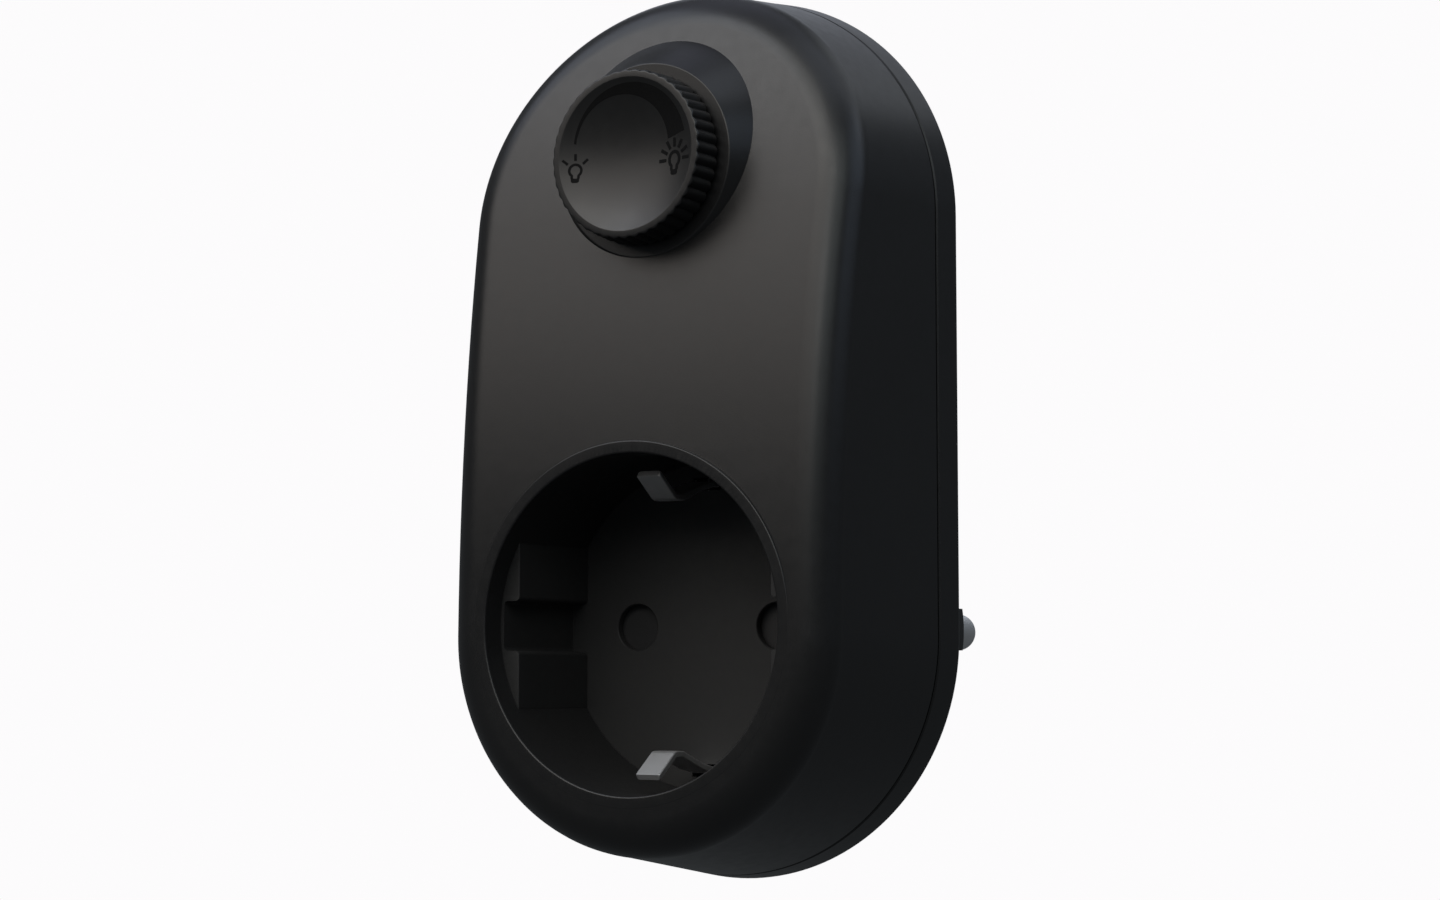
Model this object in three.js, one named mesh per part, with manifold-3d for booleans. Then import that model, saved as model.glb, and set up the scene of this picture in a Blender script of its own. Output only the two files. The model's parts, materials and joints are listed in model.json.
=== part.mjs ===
// A plug-in rotary dimmer: a mains socket with earth clips on the front, a mains plug on the back,
// and a turning knob above the socket that sets the brightness of the lamp plugged into it.
//
// Millimetres. The finished part has +Z up, its front towards -Y, and its origin at the centre of the
// plug's end face, which rests on the floor of the wall socket.
// Every piece below is drawn as seen from the front: X to the right, Y up, Z towards the viewer.
// Depths ("rear plane", "floor") are counted forwards from the back of the case. The group at the end
// turns the drawing into the part's own frame.

import * as THREE from "three";
import { mergeVertices } from "three/addons/utils/BufferGeometryUtils.js";
import Module from "manifold-3d";

// ---- Driving dimensions -------------------------------------------------------------------------

const gap = 0.3; // clearance between pieces that touch
const plugLength = 24; // plug's end face to the back of the case
const pinSpacing = 19; // between pin centres, on the plug and on the socket
const pinRadius = 2.4;
const pinLength = 19; // out of the plug's end face

const caseHalfWidth = 28.8; // at the back, where the case is widest
const lowerCentre = -1.2; // centre of the lower round end, counted up from the socket's axis
const upperCentre = 47.8; // centre of the upper round end
const caseDepth = 27; // back to front, where the case is deepest
const arcStart = -3.6; // the front face is flat below this height, and falls back in an arc above it
const frontFaceRadius = 284;
const frontEdgeRadius = 4.5; // round between the front face and the side wall
const sideDraft = 0.164; // how much the side wall leans in, per millimetre of depth
const wall = 1.8;
const partingDepth = 4.5; // the line between rear cover and front shell
const lipThickness = 1;
const lipHeight = 2;

const recessRadius = 19.2; // socket recess
const recessRimRadius = 20.6; // outside of the level ring round the mouth
const recessRimProud = 0.05; // how far the ring stands in front of the face's flat part
const mouthChamfer = 0.25;
const floorDepth = 9; // the floor of the recess
const floorThickness = 1;
const wellWall = 1.8;
const flatHalfWidth = 16.6; // the guide flats left and right
const flatFrontDepth = 23.75;
const notchHalfHeight = 2.9; // the groove that splits each pair of flats
const notchHalfWidth = 18.7;
const pinHoleRadius = 2.75;
const slotInner = 16.1; // the slots in the floor that the earth clips come out of
const slotOuter = 17.6;

const knobHeight = 53.2; // knob axis above the socket's axis
const collarRadius = 11.25; // flat top of the collar under the knob
const collarDepth = 23.4;
const collarSlope = THREE.MathUtils.degToRad(34); // the flank's lean away from the knob axis
const knobBackRadius = 10.05;
const knobFrontRadius = 9.75;
const knobFaceDepth = 27.75; // the flat ring round the dish
const knobRibs = 44;
const knobRibHeight = 0.45;
const knobDishRadius = 8.85;
const knobDish = 1.6; // how far the face is hollowed
const knobEdge = 0.3; // broken edge between the ring and the ribbed side
const knobBack = 1; // thickness of the cap behind the deepest part of the hollow
const shaftRadius = 3;
const shaftDepth = 25; // front end of the shaft inside the knob
const neckRadius = 4; // the shaft's threaded neck

const plugRadius = 18.6;
const plugFlatHalfWidth = 17.2;
const plugRibHalfHeight = 2.6; // the rib left in the middle of each flat, for the socket's groove
const plugHollowRadius = 14.2;
const plugFaceThickness = 2.2;
const plugChamfer = 1;

const stripThickness = 0.7; // earth strips
const stripHalfWidth = 1.6;
const wireRadius = 0.8;

// ---- Derived levels, counted from the plug's end face -------------------------------------------

const rearPlane = plugLength;
const level = (depth) => rearPlane + depth;
const floorLevel = level(floorDepth);
const floorBackLevel = floorLevel - floorThickness;
const shutterThickness = 1.6;
const retainerThickness = 1;
const shutterBackLevel = floorBackLevel - gap - shutterThickness;
const retainerBackLevel = shutterBackLevel - gap - retainerThickness;
const boardThickness = 1.6;
const boardBackLevel = level(4.6);
const boardFrontLevel = boardBackLevel + boardThickness;
const mountLevel = boardFrontLevel + gap; // where the components stand
const rimLevel = level(caseDepth) + recessRimProud;
const collarLevel = level(collarDepth);
const knobBackLevel = collarLevel + gap;
const knobFaceLevel = level(knobFaceDepth);
const pinX = pinSpacing / 2;
const straight = Math.PI;
const rightAngle = Math.PI / 2;
const round = 40; // sides of a large circle
const small = 16; // sides of a small circle

const caseScrews = [
  { x: -18, y: 44 },
  { x: 18, y: 44 },
  { x: -18.4, y: -15.5 },
  { x: 18.4, y: -15.5 },
];
const boardScrews = [
  { x: -18.5, y: 27 },
  { x: 18.5, y: 27 },
];
const postRadius = 3.4;
const postMeetDepth = 4; // where the posts of the cover and the shell meet
const boardPostRadius = 2.6;
const screwRadius = 1.3;
const screwHeadRadius = 2.2;
const screwLength = 12;
const counterbore = 2.2;

// ---- Solids: joining and cutting ----------------------------------------------------------------

const wasm = await Module();
wasm.setup();

// A closed three.js geometry as a solid that can be joined and cut.
function solid(geometry) {
  const plain = geometry.index ? geometry.toNonIndexed() : geometry.clone();
  plain.deleteAttribute("normal");
  plain.deleteAttribute("uv");
  const merged = mergeVertices(plain);
  return new wasm.Manifold(
    new wasm.Mesh({
      numProp: 3,
      vertProperties: merged.attributes.position.array,
      triVerts: new Uint32Array(merged.index.array),
    }),
  );
}

const joined = (pieces) => pieces.reduce((whole, piece) => whole.add(piece));
const cut = (body, tools) => tools.reduce((rest, tool) => rest.subtract(tool), body);

function geometryOf(body) {
  const mesh = body.getMesh();
  const geometry = new THREE.BufferGeometry();
  geometry.setAttribute("position", new THREE.BufferAttribute(mesh.vertProperties, 3));
  geometry.setIndex(new THREE.BufferAttribute(mesh.triVerts, 1));
  const faceted = geometry.toNonIndexed();
  faceted.computeVertexNormals();
  return faceted;
}

// ---- Basic shapes -------------------------------------------------------------------------------

// A round bar along Z, or a cone where the two radii differ.
function bar(backRadius, back, front, { x = 0, y = 0, frontRadius = backRadius, sides = small } = {}) {
  const shape = new THREE.CylinderGeometry(frontRadius, backRadius, front - back, sides);
  shape.rotateX(rightAngle);
  shape.translate(x, y, (back + front) / 2);
  return solid(shape);
}

function block(xs, ys, zs) {
  const shape = new THREE.BoxGeometry(xs[1] - xs[0], ys[1] - ys[0], zs[1] - zs[0]);
  shape.translate((xs[0] + xs[1]) / 2, (ys[0] + ys[1]) / 2, (zs[0] + zs[1]) / 2);
  return solid(shape);
}

// A flat outline in X and Y, thickened from back to front.
function plate(outline, back, front, curveSegments = small) {
  const shape = new THREE.ExtrudeGeometry(outline, {
    depth: front - back,
    bevelEnabled: false,
    curveSegments,
  });
  shape.translate(0, 0, back);
  return solid(shape);
}

// A profile of [radius, level] pairs turned about the Z axis, listed from back to front.
function turned(profile, { x = 0, y = 0, sides = small } = {}) {
  const points = profile.map(([radius, height]) => new THREE.Vector2(radius, height));
  const shape = new THREE.LatheGeometry(points, sides);
  shape.rotateX(rightAngle);
  shape.translate(x, y, 0);
  return solid(shape);
}

// A sheet-metal strip bent along a path of [level, height] points, with its width along X.
function bentStrip(path, thickness, halfWidth) {
  const points = path.map(([along, height]) => new THREE.Vector2(along, height));
  const half = thickness / 2;
  const sideways = (from, to) => new THREE.Vector2(from.y - to.y, to.x - from.x).normalize();
  const offset = (sign) =>
    points.map((point, i) => {
      const before = sideways(points[Math.max(i - 1, 0)], points[Math.max(i, 1)]);
      const last = points.length - 1;
      const after = sideways(points[Math.min(i, last - 1)], points[Math.min(i + 1, last)]);
      const mitre = before.clone().add(after).normalize();
      return point.clone().addScaledVector(mitre, (sign * half) / mitre.dot(after));
    });
  const outline = new THREE.Shape([...offset(1), ...offset(-1).reverse()]);
  const shape = new THREE.ExtrudeGeometry(outline, { depth: 2 * halfWidth, bevelEnabled: false });
  shape.translate(0, 0, -halfWidth);
  shape.rotateY(-rightAngle); // the path's first axis becomes Z, and the width lies along X
  return solid(shape);
}

// A round wire along a curve. The section's full circle has two sides for each curve segment.
function wireAlong(curve, radius, steps, sides) {
  const section = new THREE.Shape();
  section.absarc(0, 0, radius, 0, 2 * straight);
  return new THREE.ExtrudeGeometry(section, {
    steps,
    curveSegments: sides / 2,
    extrudePath: curve,
    bevelEnabled: false,
  });
}

class Helix extends THREE.Curve {
  constructor(radius, turns, from, to) {
    super();
    Object.assign(this, { radius, turns, from, to });
  }
  getPoint(t, target = new THREE.Vector3()) {
    const angle = 2 * straight * this.turns * t;
    const along = THREE.MathUtils.lerp(this.from, this.to, t);
    return target.set(this.radius * Math.cos(angle), along, this.radius * Math.sin(angle));
  }
}

// ---- Rings and lofts: the curved outside of the case --------------------------------------------

// How far the front face stands in front of the rear plane, at a height.
function frontDepthAt(y) {
  const climb = Math.max(0, y - arcStart);
  return caseDepth - frontFaceRadius + Math.sqrt(frontFaceRadius ** 2 - climb ** 2);
}

// The right half of the case's outline, bottom to top, with the outward direction at each point.
function rightHalfOutline(arcSteps = 9, sideSteps = 4) {
  const points = [];
  const onArc = (centre, angle) => {
    const out = new THREE.Vector2(Math.cos(angle), Math.sin(angle));
    points.push({ at: out.clone().multiplyScalar(caseHalfWidth).add(new THREE.Vector2(0, centre)), out });
  };
  for (let i = 0; i <= arcSteps; i++) onArc(lowerCentre, (i / arcSteps - 1) * rightAngle);
  for (let i = 1; i < sideSteps; i++) {
    const y = THREE.MathUtils.lerp(lowerCentre, upperCentre, i / sideSteps);
    points.push({ at: new THREE.Vector2(caseHalfWidth, y), out: new THREE.Vector2(1, 0) });
  }
  for (let i = 0; i <= arcSteps; i++) onArc(upperCentre, (i / arcSteps) * rightAngle);
  return points;
}

const outlineHalf = rightHalfOutline();

// Closes a right half, bottom to top, with its mirror image.
function mirroredRing(half) {
  const left = half.slice(1, -1).reverse();
  return [...half, ...left.map((point) => new THREE.Vector3(-point.x, point.y, point.z))];
}

// The case's outline at one depth, moved inwards by a wall thickness.
function flatRing(depth, inwards) {
  return mirroredRing(
    outlineHalf.map(({ at, out }) => {
      const point = at.clone().addScaledVector(out, -(inwards + sideDraft * depth));
      return new THREE.Vector3(point.x, point.y, level(depth));
    }),
  );
}

// A ring on the round front edge. The turn goes from 0 on the side wall to a right angle on the front face.
function edgeRing(turn, inwards) {
  const radius = frontEdgeRadius - inwards;
  return mirroredRing(
    outlineHalf.map(({ at, out }) => {
      const sideDepth = frontDepthAt(at.y) - frontEdgeRadius;
      const inset = inwards + sideDraft * sideDepth + radius * (1 - Math.cos(turn));
      const point = at.clone().addScaledVector(out, -inset);
      const depth = frontDepthAt(point.y) - frontEdgeRadius + radius * Math.sin(turn);
      return new THREE.Vector3(point.x, point.y, level(depth));
    }),
  );
}

// A solid through mirrored rings, listed from back to front. Each end is closed by a ladder of rungs that
// run straight across, so an end that curves only up and down keeps its shape.
function loft(rings) {
  const count = rings[0].length;
  const top = count / 2;
  const triangles = [];
  const corner = (ring, i) => ring * count + (i % count);
  for (let ring = 0; ring + 1 < rings.length; ring++) {
    for (let i = 0; i < count; i++) {
      triangles.push(corner(ring, i), corner(ring, i + 1), corner(ring + 1, i + 1));
      triangles.push(corner(ring, i), corner(ring + 1, i + 1), corner(ring + 1, i));
    }
  }
  const lastRing = rings.length - 1;
  for (let i = 0; i < top; i++) {
    const [right, rightUp, leftUp, left] = [i, i + 1, count - i - 1, count - i];
    if (i < top - 1) {
      triangles.push(corner(lastRing, right), corner(lastRing, rightUp), corner(lastRing, leftUp));
      triangles.push(corner(0, right), corner(0, leftUp), corner(0, rightUp));
    }
    if (i > 0) {
      triangles.push(corner(lastRing, right), corner(lastRing, leftUp), corner(lastRing, left));
      triangles.push(corner(0, right), corner(0, left), corner(0, leftUp));
    }
  }
  const shape = new THREE.BufferGeometry().setFromPoints(rings.flat());
  shape.setIndex(triangles);
  return solid(shape);
}

// ---- The part's group ---------------------------------------------------------------------------

const pieces = new THREE.Group();

function addPiece(name, shape, { colour, roughness = 0.6, metalness = 0 }) {
  const geometry = shape instanceof THREE.BufferGeometry ? shape : geometryOf(shape);
  const material = new THREE.MeshStandardMaterial({ color: colour, roughness, metalness });
  const mesh = new THREE.Mesh(geometry, material);
  mesh.name = name;
  pieces.add(mesh);
}

const blackPlastic = { colour: 0x17161a, roughness: 0.5 };
const innerPlastic = { colour: 0x1c1c1e, roughness: 0.65 };
const whitePlastic = { colour: 0xd8d6cf, roughness: 0.6 };
const steel = { colour: 0x9aa0a6, roughness: 0.35, metalness: 1 };
const brass = { colour: 0xb08d4a, roughness: 0.35, metalness: 1 };
const copper = { colour: 0xb06a3c, roughness: 0.4, metalness: 1 };
const tinned = { colour: 0xc2c4c6, roughness: 0.3, metalness: 1 };

const onBothSides = (make) => joined([make(-1), make(1)]);

// The slot that an earth strip needs where it passes through a wall, at the top or the bottom.
function stripSlot(side, back, front, inner, outer) {
  const heights = [side * inner, side * outer].sort((a, b) => a - b);
  const half = stripHalfWidth + gap;
  return block([-half, half], heights, [back, front]);
}

// ---- Front shell --------------------------------------------------------------------------------

function collarCone(inwards) {
  const reach = 8; // far enough back to meet the lowest part of the front face under the flank
  const topRadius = collarRadius - inwards;
  const top = collarLevel - inwards;
  return bar(topRadius + reach * Math.tan(collarSlope), top - reach, top, {
    y: knobHeight,
    frontRadius: topRadius,
    sides: round,
  });
}

function caseSolid(backDepth, inwards, turns) {
  const edge = turns.map((turn) => edgeRing(turn, inwards));
  return loft([flatRing(backDepth, inwards), ...edge]);
}

// A guide flat on one side of the recess.
function guideFlat(side) {
  const xs = [side * flatHalfWidth, side * (recessRadius + gap)].sort((a, b) => a - b);
  return block(xs, [-recessRadius, recessRadius], [floorLevel - gap, level(flatFrontDepth)]);
}

function socketRecess() {
  const front = level(caseDepth) + gap;
  const bore = bar(recessRadius, floorLevel, front, { sides: round });
  const flats = onBothSides(guideFlat);
  const notch = block(
    [-notchHalfWidth, notchHalfWidth],
    [-notchHalfHeight, notchHalfHeight],
    [floorLevel, front],
  );
  const mouth = bar(recessRadius, rimLevel - mouthChamfer, rimLevel + mouthChamfer, {
    frontRadius: recessRadius + 2 * mouthChamfer,
    sides: round,
  });
  return joined([bore.subtract(flats), notch, mouth]);
}

function frontShell() {
  const shellBack = partingDepth + gap / 2;
  const outside = caseSolid(shellBack, 0, [0, 1 / 3, 2 / 3, 1].map((part) => part * rightAngle));
  const cavity = caseSolid(shellBack - 1, wall, [0, 0.5, 1].map((part) => part * rightAngle));
  const rim = bar(recessRimRadius, level(caseDepth - wall), rimLevel, { sides: round });
  const skin = cut(joined([outside, rim, collarCone(0)]), [cavity, collarCone(wall)]);
  const wellRadius = recessRadius + wellWall;
  const well = bar(wellRadius, retainerBackLevel, level(caseDepth), { sides: round });
  const postBack = level(postMeetDepth + gap / 2);
  const casePosts = caseScrews.map(({ x, y }) => bar(postRadius, postBack, level(caseDepth), { x, y }));
  const boardPosts = boardScrews.map(({ x, y }) =>
    bar(boardPostRadius, mountLevel, level(caseDepth), { x, y }),
  );
  const insideLip = wall + 2 * gap + lipThickness;
  const room = loft([flatRing(postMeetDepth, insideLip), flatRing(shellBack + 1, wall)]);
  const core = caseSolid(shellBack, wall / 2, [0, 1 / 2, 1].map((part) => part * rightAngle));
  const inside = joined([well, ...casePosts, ...boardPosts]).intersect(core.add(room));
  const pocket = bar(recessRadius, retainerBackLevel - gap, floorBackLevel, { sides: round });
  const pinHoles = [-pinX, pinX].map((x) => {
    return bar(pinHoleRadius, floorBackLevel - gap, floorLevel + gap, { x });
  });
  const slots = [-1, 1].map((side) => {
    return stripSlot(side, floorBackLevel - gap, floorLevel + gap, slotInner, slotOuter);
  });
  const shaftHole = bar(shaftRadius + 0.8, collarLevel - 10, collarLevel + 1, { y: knobHeight });
  const pilot = screwRadius + gap;
  const pilotHoles = (screws, back, front) => screws.map(({ x, y }) => bar(pilot, back, front, { x, y }));
  const caseHoles = pilotHoles(caseScrews, postBack - 1, level(screwLength + 3));
  const boardHoles = pilotHoles(boardScrews, mountLevel - 1, mountLevel + 7);
  return cut(skin.add(inside), [
    socketRecess(),
    pocket,
    shaftHole,
    ...pinHoles,
    ...slots,
    ...caseHoles,
    ...boardHoles,
  ]);
}

addPiece("front_shell", frontShell(), blackPlastic);

// ---- Rear cover with the plug -------------------------------------------------------------------

function plugBody() {
  const front = level(wall / 2);
  const profile = [
    [0, 0],
    [plugRadius - plugChamfer, 0],
    [plugRadius, plugChamfer],
    [plugRadius, front],
    [0, front],
  ];
  const body = turned(profile, { sides: round });
  const flats = [-1, 1].flatMap((side) => {
    const xs = [side * plugFlatHalfWidth, side * (plugRadius + 1)].sort((a, b) => a - b);
    const above = block(xs, [plugRibHalfHeight, plugRadius], [-1, rearPlane]);
    const below = block(xs, [-plugRadius, -plugRibHalfHeight], [-1, rearPlane]);
    return [above, below];
  });
  return cut(body, flats);
}

function rearCover() {
  const coverFront = partingDepth - gap / 2;
  const outside = loft([flatRing(0, 0), flatRing(coverFront, 0)]);
  const tray = outside.subtract(loft([flatRing(wall, wall), flatRing(coverFront + 1, wall)]));
  const lipTop = partingDepth + lipHeight;
  const lipRing = (depths, inwards) => loft(depths.map((depth) => flatRing(depth, inwards)));
  const lipInset = wall + gap;
  const lip = lipRing([1, lipTop], lipInset).subtract(lipRing([0, lipTop + 1], lipInset + lipThickness));
  const postFront = level(postMeetDepth - gap / 2);
  const posts = caseScrews.map(({ x, y }) => bar(postRadius, level(1), postFront, { x, y }));
  const atScrews = (radius, back, front) => {
    return caseScrews.map(({ x, y }) => bar(radius, back, front, { x, y }));
  };
  const postRoom = atScrews(postRadius + gap, postFront, level(lipTop + 1));
  const heads = atScrews(screwHeadRadius + gap, rearPlane - 1, level(counterbore));
  const shanks = atScrews(screwRadius + gap, rearPlane - 1, postFront + 1);
  const hollow = bar(plugHollowRadius, plugFaceThickness, level(wall) + 1, { sides: round });
  const pinHoles = [-pinX, pinX].map((x) => bar(pinRadius + gap, -1, plugFaceThickness + 1, { x }));
  const grooves = [-1, 1].map((side) => stripSlot(side, 3, level(wall) + 1, 16.2, 18.5));
  const openGrooves = [-1, 1].map((side) => stripSlot(side, 3, rearPlane, 16.2, plugRadius + 1));
  const walls = joined([tray, cut(lip, postRoom), joined(posts).intersect(outside)]);
  return cut(walls.add(plugBody()), [
    hollow,
    ...pinHoles,
    ...grooves,
    ...openGrooves,
    ...heads,
    ...shanks,
  ]);
}

addPiece("rear_cover", rearCover(), blackPlastic);

// ---- Screws -------------------------------------------------------------------------------------

function crossScrew(x, y, headBack, headHeight, headRadius, length) {
  const head = bar(headRadius, headBack, headBack + headHeight, { x, y });
  const headFront = headBack + headHeight;
  const shank = bar(screwRadius, headFront, headFront + length, { x, y, sides: 12 });
  const [long, short, deep] = [1.7, 0.4, 1];
  const across = block([x - long, x + long], [y - short, y + short], [headBack - 1, headBack + deep]);
  const upright = block([x - short, x + short], [y - long, y + long], [headBack - 1, headBack + deep]);
  return cut(head.add(shank), [across, upright]);
}

caseScrews.forEach(({ x, y }, i) => {
  const headBack = rearPlane + gap;
  const headHeight = counterbore - 2 * gap;
  const screw = crossScrew(x, y, headBack, headHeight, screwHeadRadius, screwLength);
  addPiece(`case_screw_${i + 1}`, screw, steel);
});

boardScrews.forEach(({ x, y }, i) => {
  const headHeight = 1.2;
  const headBack = boardBackLevel - gap - headHeight;
  addPiece(`board_screw_${i + 1}`, crossScrew(x, y, headBack, headHeight, 2.2, 8), steel);
});

// ---- Plug pins and socket contacts --------------------------------------------------------------

const pinTop = 9; // inner end of the stud inside the plug

function plugPin(x) {
  const tip = 1.6; // length of the rounded tip
  const profile = [[0, -pinLength]];
  for (let i = 1; i <= 3; i++) {
    const turn = (i / 3) * rightAngle;
    profile.push([0.9 + (pinRadius - 0.9) * Math.sin(turn), -pinLength + tip * (1 - Math.cos(turn))]);
  }
  const flangeBack = plugFaceThickness + gap;
  profile.push([pinRadius, flangeBack], [3.6, flangeBack], [3.6, flangeBack + 1.2]);
  profile.push([pinRadius, flangeBack + 1.2], [pinRadius, pinTop], [0, pinTop]);
  return turned(profile, { x });
}

addPiece("live_pin", plugPin(pinX), tinned);
addPiece("neutral_pin", plugPin(-pinX), tinned);

const contactBack = level(-10);
const contactFront = retainerBackLevel - gap;

// A split sleeve that grips a pin pushed in from the front, with a tail that leads to the plug's stud.
function socketContact(side) {
  const [inner, outer] = [2.35, 2.95];
  const slit = 0.3; // radians from the middle of the slit to its edge
  const sleeve = new THREE.Shape();
  const facing = side > 0 ? straight : 0; // the slit faces the middle of the socket
  sleeve.absarc(0, 0, outer, facing + slit, facing + 2 * straight - slit, false);
  sleeve.absarc(0, 0, inner, facing + 2 * straight - slit, facing + slit, true);
  const tube = plate(sleeve, contactBack, contactFront, 10).translate(side * pinX, 0, 0);
  const x = side * (pinX + (inner + outer) / 2);
  const tail = block([x - 0.3, x + 0.3], [-1.2, 1.2], [pinTop + 1, contactBack + 1]);
  const foot = block([Math.min(side * pinX, x) - 0.3, Math.max(side * pinX, x) + 0.3], [-1.2, 1.2], [
    pinTop + gap,
    pinTop + gap + 0.8,
  ]);
  return joined([tube, tail, foot]);
}

addPiece("live_contact", socketContact(1), brass);
addPiece("neutral_contact", socketContact(-1), brass);

function contactCarrier() {
  const [back, front] = [level(-4), level(-1.6)];
  const disc = bar(plugHollowRadius - gap, back, front, { sides: round });
  const holes = [-pinX, pinX].map((x) => bar(3.4, back - 1, front + 1, { x }));
  const wireWay = block([-5.2, 3], [2, 11.5], [back - 1, front + 1]);
  return cut(disc, [...holes, wireWay]);
}

addPiece("contact_carrier", contactCarrier(), whitePlastic);

// ---- Earth: one strip above, one below, and the link between them -------------------------------

// A strip is the socket's earth clip at its front end and the plug's side contact at its back end.
function earthStrip(side) {
  const path = [
    [level(22.2), 17.2],
    [level(19.2), 15.2],
    [level(18.4), 14.85],
    [level(17.6), 14.7],
    [level(16.8), 14.85],
    [level(12.8), 16.1],
    [floorLevel + 0.5, 16.8],
    [floorBackLevel, 16.9],
    [rearPlane - 4, 17.2],
    [rearPlane - 9, 17.9],
    [rearPlane - 15, 17.9],
    [rearPlane - 20, 17],
  ];
  return bentStrip(
    path.map(([along, height]) => [along, side * height]),
    stripThickness,
    stripHalfWidth,
  );
}

addPiece("earth_strip_upper", earthStrip(1), tinned);
addPiece("earth_strip_lower", earthStrip(-1), tinned);

function earthLink() {
  const [inner, outer, endAngle] = [15.4, 18.4, 1.42];
  const arc = new THREE.Shape();
  arc.absarc(0, 0, outer, -endAngle, endAngle, false);
  arc.absarc(0, 0, inner, endAngle, -endAngle, true);
  const back = level(wall) + gap;
  return plate(arc, back, back + 0.6);
}

addPiece("earth_link", earthLink(), tinned);

// ---- Child-safety shutter behind the floor ------------------------------------------------------

const shutterTravel = 6.6;
const shutterHalfHeight = 3.6;
const springRadius = 1.35;
const springWireRadius = 0.25;
const footBottom = -5;
const springBottom = footBottom - gap - 9.6;
const springLevel = retainerBackLevel + retainerThickness / 2;

function shutter() {
  const [back, front] = [shutterBackLevel, shutterBackLevel + shutterThickness];
  const slider = block([-13.6, 13.6], [-shutterHalfHeight, shutterHalfHeight], [back, front]);
  const ramps = [-pinX, pinX].map((x) => {
    const ramp = block([x - 3, x + 3], [-1.2, 1.2], [-2, 2]);
    return ramp.rotate([40, 0, 0]).translate(0, shutterHalfHeight + 0.6, front + 0.2);
  });
  const foot = block([-1.5, 1.5], [footBottom, -shutterHalfHeight + 0.1], [springLevel - 0.4, front]);
  return cut(slider, ramps).add(foot);
}

addPiece("shutter", shutter(), innerPlastic);

function shutterRetainer() {
  const [back, front] = [retainerBackLevel, retainerBackLevel + retainerThickness];
  const disc = bar(recessRadius - gap, back, front, { sides: round });
  const holes = [-pinX, pinX].map((x) => bar(3.3, back - 1, front + 1, { x }));
  const slots = [-1, 1].map((side) => stripSlot(side, back - 1, front + 1, 15.8, recessRadius + 1));
  const troughHeights = [springBottom - gap, -shutterHalfHeight + gap];
  const trough = block([-2.1, 2.1], troughHeights, [back - 1, front + 1]);
  return cut(disc, [...holes, ...slots, trough]);
}

addPiece("shutter_retainer", shutterRetainer(), innerPlastic);

const springTop = footBottom - gap;
const springEnds = [springBottom + springWireRadius, springTop - springWireRadius];
const springCurve = new Helix(springRadius, 5, ...springEnds);
const spring = wireAlong(springCurve, springWireRadius, 40, 6);
spring.translate(0, 0, springLevel);
addPiece("shutter_spring", spring, steel);

// ---- Knob and potentiometer ---------------------------------------------------------------------

// The knob's outline at one level, with a tooth for each rib, from its lowest point round.
function ribbedRing(radius, at) {
  return Array.from({ length: 2 * knobRibs }, (_, i) => {
    const angle = (i * straight) / knobRibs - rightAngle;
    const reach = i % 2 ? radius : radius - knobRibHeight;
    return new THREE.Vector3(reach * Math.cos(angle), knobHeight + reach * Math.sin(angle), at);
  });
}

function knob() {
  const cap = loft([
    ribbedRing(knobBackRadius, knobBackLevel),
    ribbedRing(knobFrontRadius, knobFaceLevel - knobEdge),
    ribbedRing(knobFrontRadius - knobEdge, knobFaceLevel),
  ]);
  const bowl = [0, 0.25, 0.5, 0.75, 1].map((part) => {
    return [part * knobDishRadius, knobFaceLevel - knobDish * (1 - part ** 2)];
  });
  bowl.push([knobDishRadius, knobFaceLevel + 1], [0, knobFaceLevel + 1]);
  const dish = turned(bowl, { y: knobHeight, sides: round });
  const hollowTop = knobFaceLevel - knobDish - knobBack;
  const hollow = bar(8, knobBackLevel - 1, hollowTop, { y: knobHeight, sides: round });
  const hub = bar(4.6, knobBackLevel, hollowTop + 0.1, { y: knobHeight });
  const bore = bar(shaftRadius + gap, knobBackLevel - 1, shaftFront + gap, { y: knobHeight });
  return cut(cap, [dish, hollow]).add(hub).subtract(bore);
}

const shaftFront = level(shaftDepth);
addPiece("knob", knob(), blackPlastic);

const potBack = mountLevel;
const potBaseThickness = 1.2;
const potCupBack = potBack + potBaseThickness + gap;
const potCupFront = potCupBack + 6.6;
const neckFront = potCupFront + 3;

function potHousing() {
  const cup = bar(8.25, potCupBack, potCupFront, { y: knobHeight, sides: 32 });
  const neck = bar(neckRadius, potCupFront - 1, neckFront, { y: knobHeight });
  const chamber = bar(6.9, potCupBack - 1, potCupFront - 1.2, { y: knobHeight });
  const way = bar(shaftRadius + gap, potCupBack, neckFront + 1, { y: knobHeight });
  return cut(cup.add(neck), [chamber, way]);
}

function potBase() {
  const disc = bar(8.25, potBack, potBack + potBaseThickness, { y: knobHeight, sides: 32 });
  const terminals = [-5, 0, 5].map((x) => {
    return block([x - 0.6, x + 0.6], [knobHeight - 11.5, knobHeight - 6], [potBack, potBack + 0.5]);
  });
  return joined([disc, ...terminals]);
}

function potShaft() {
  const rotor = bar(6.5, potCupBack, potCupBack + 3.2, { y: knobHeight });
  const shaft = bar(shaftRadius, potCupBack + 3, shaftFront, { y: knobHeight });
  const flat = block([1.6, 4], [knobHeight - 4, knobHeight + 4], [shaftFront - 5, shaftFront + 1]);
  return rotor.add(shaft).subtract(flat);
}

addPiece("pot_housing", potHousing(), steel);
addPiece("pot_base", potBase(), { colour: 0x6b4a2a, roughness: 0.7 });
addPiece("pot_shaft", potShaft(), whitePlastic);

// ---- Circuit board and its components -----------------------------------------------------------

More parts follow.
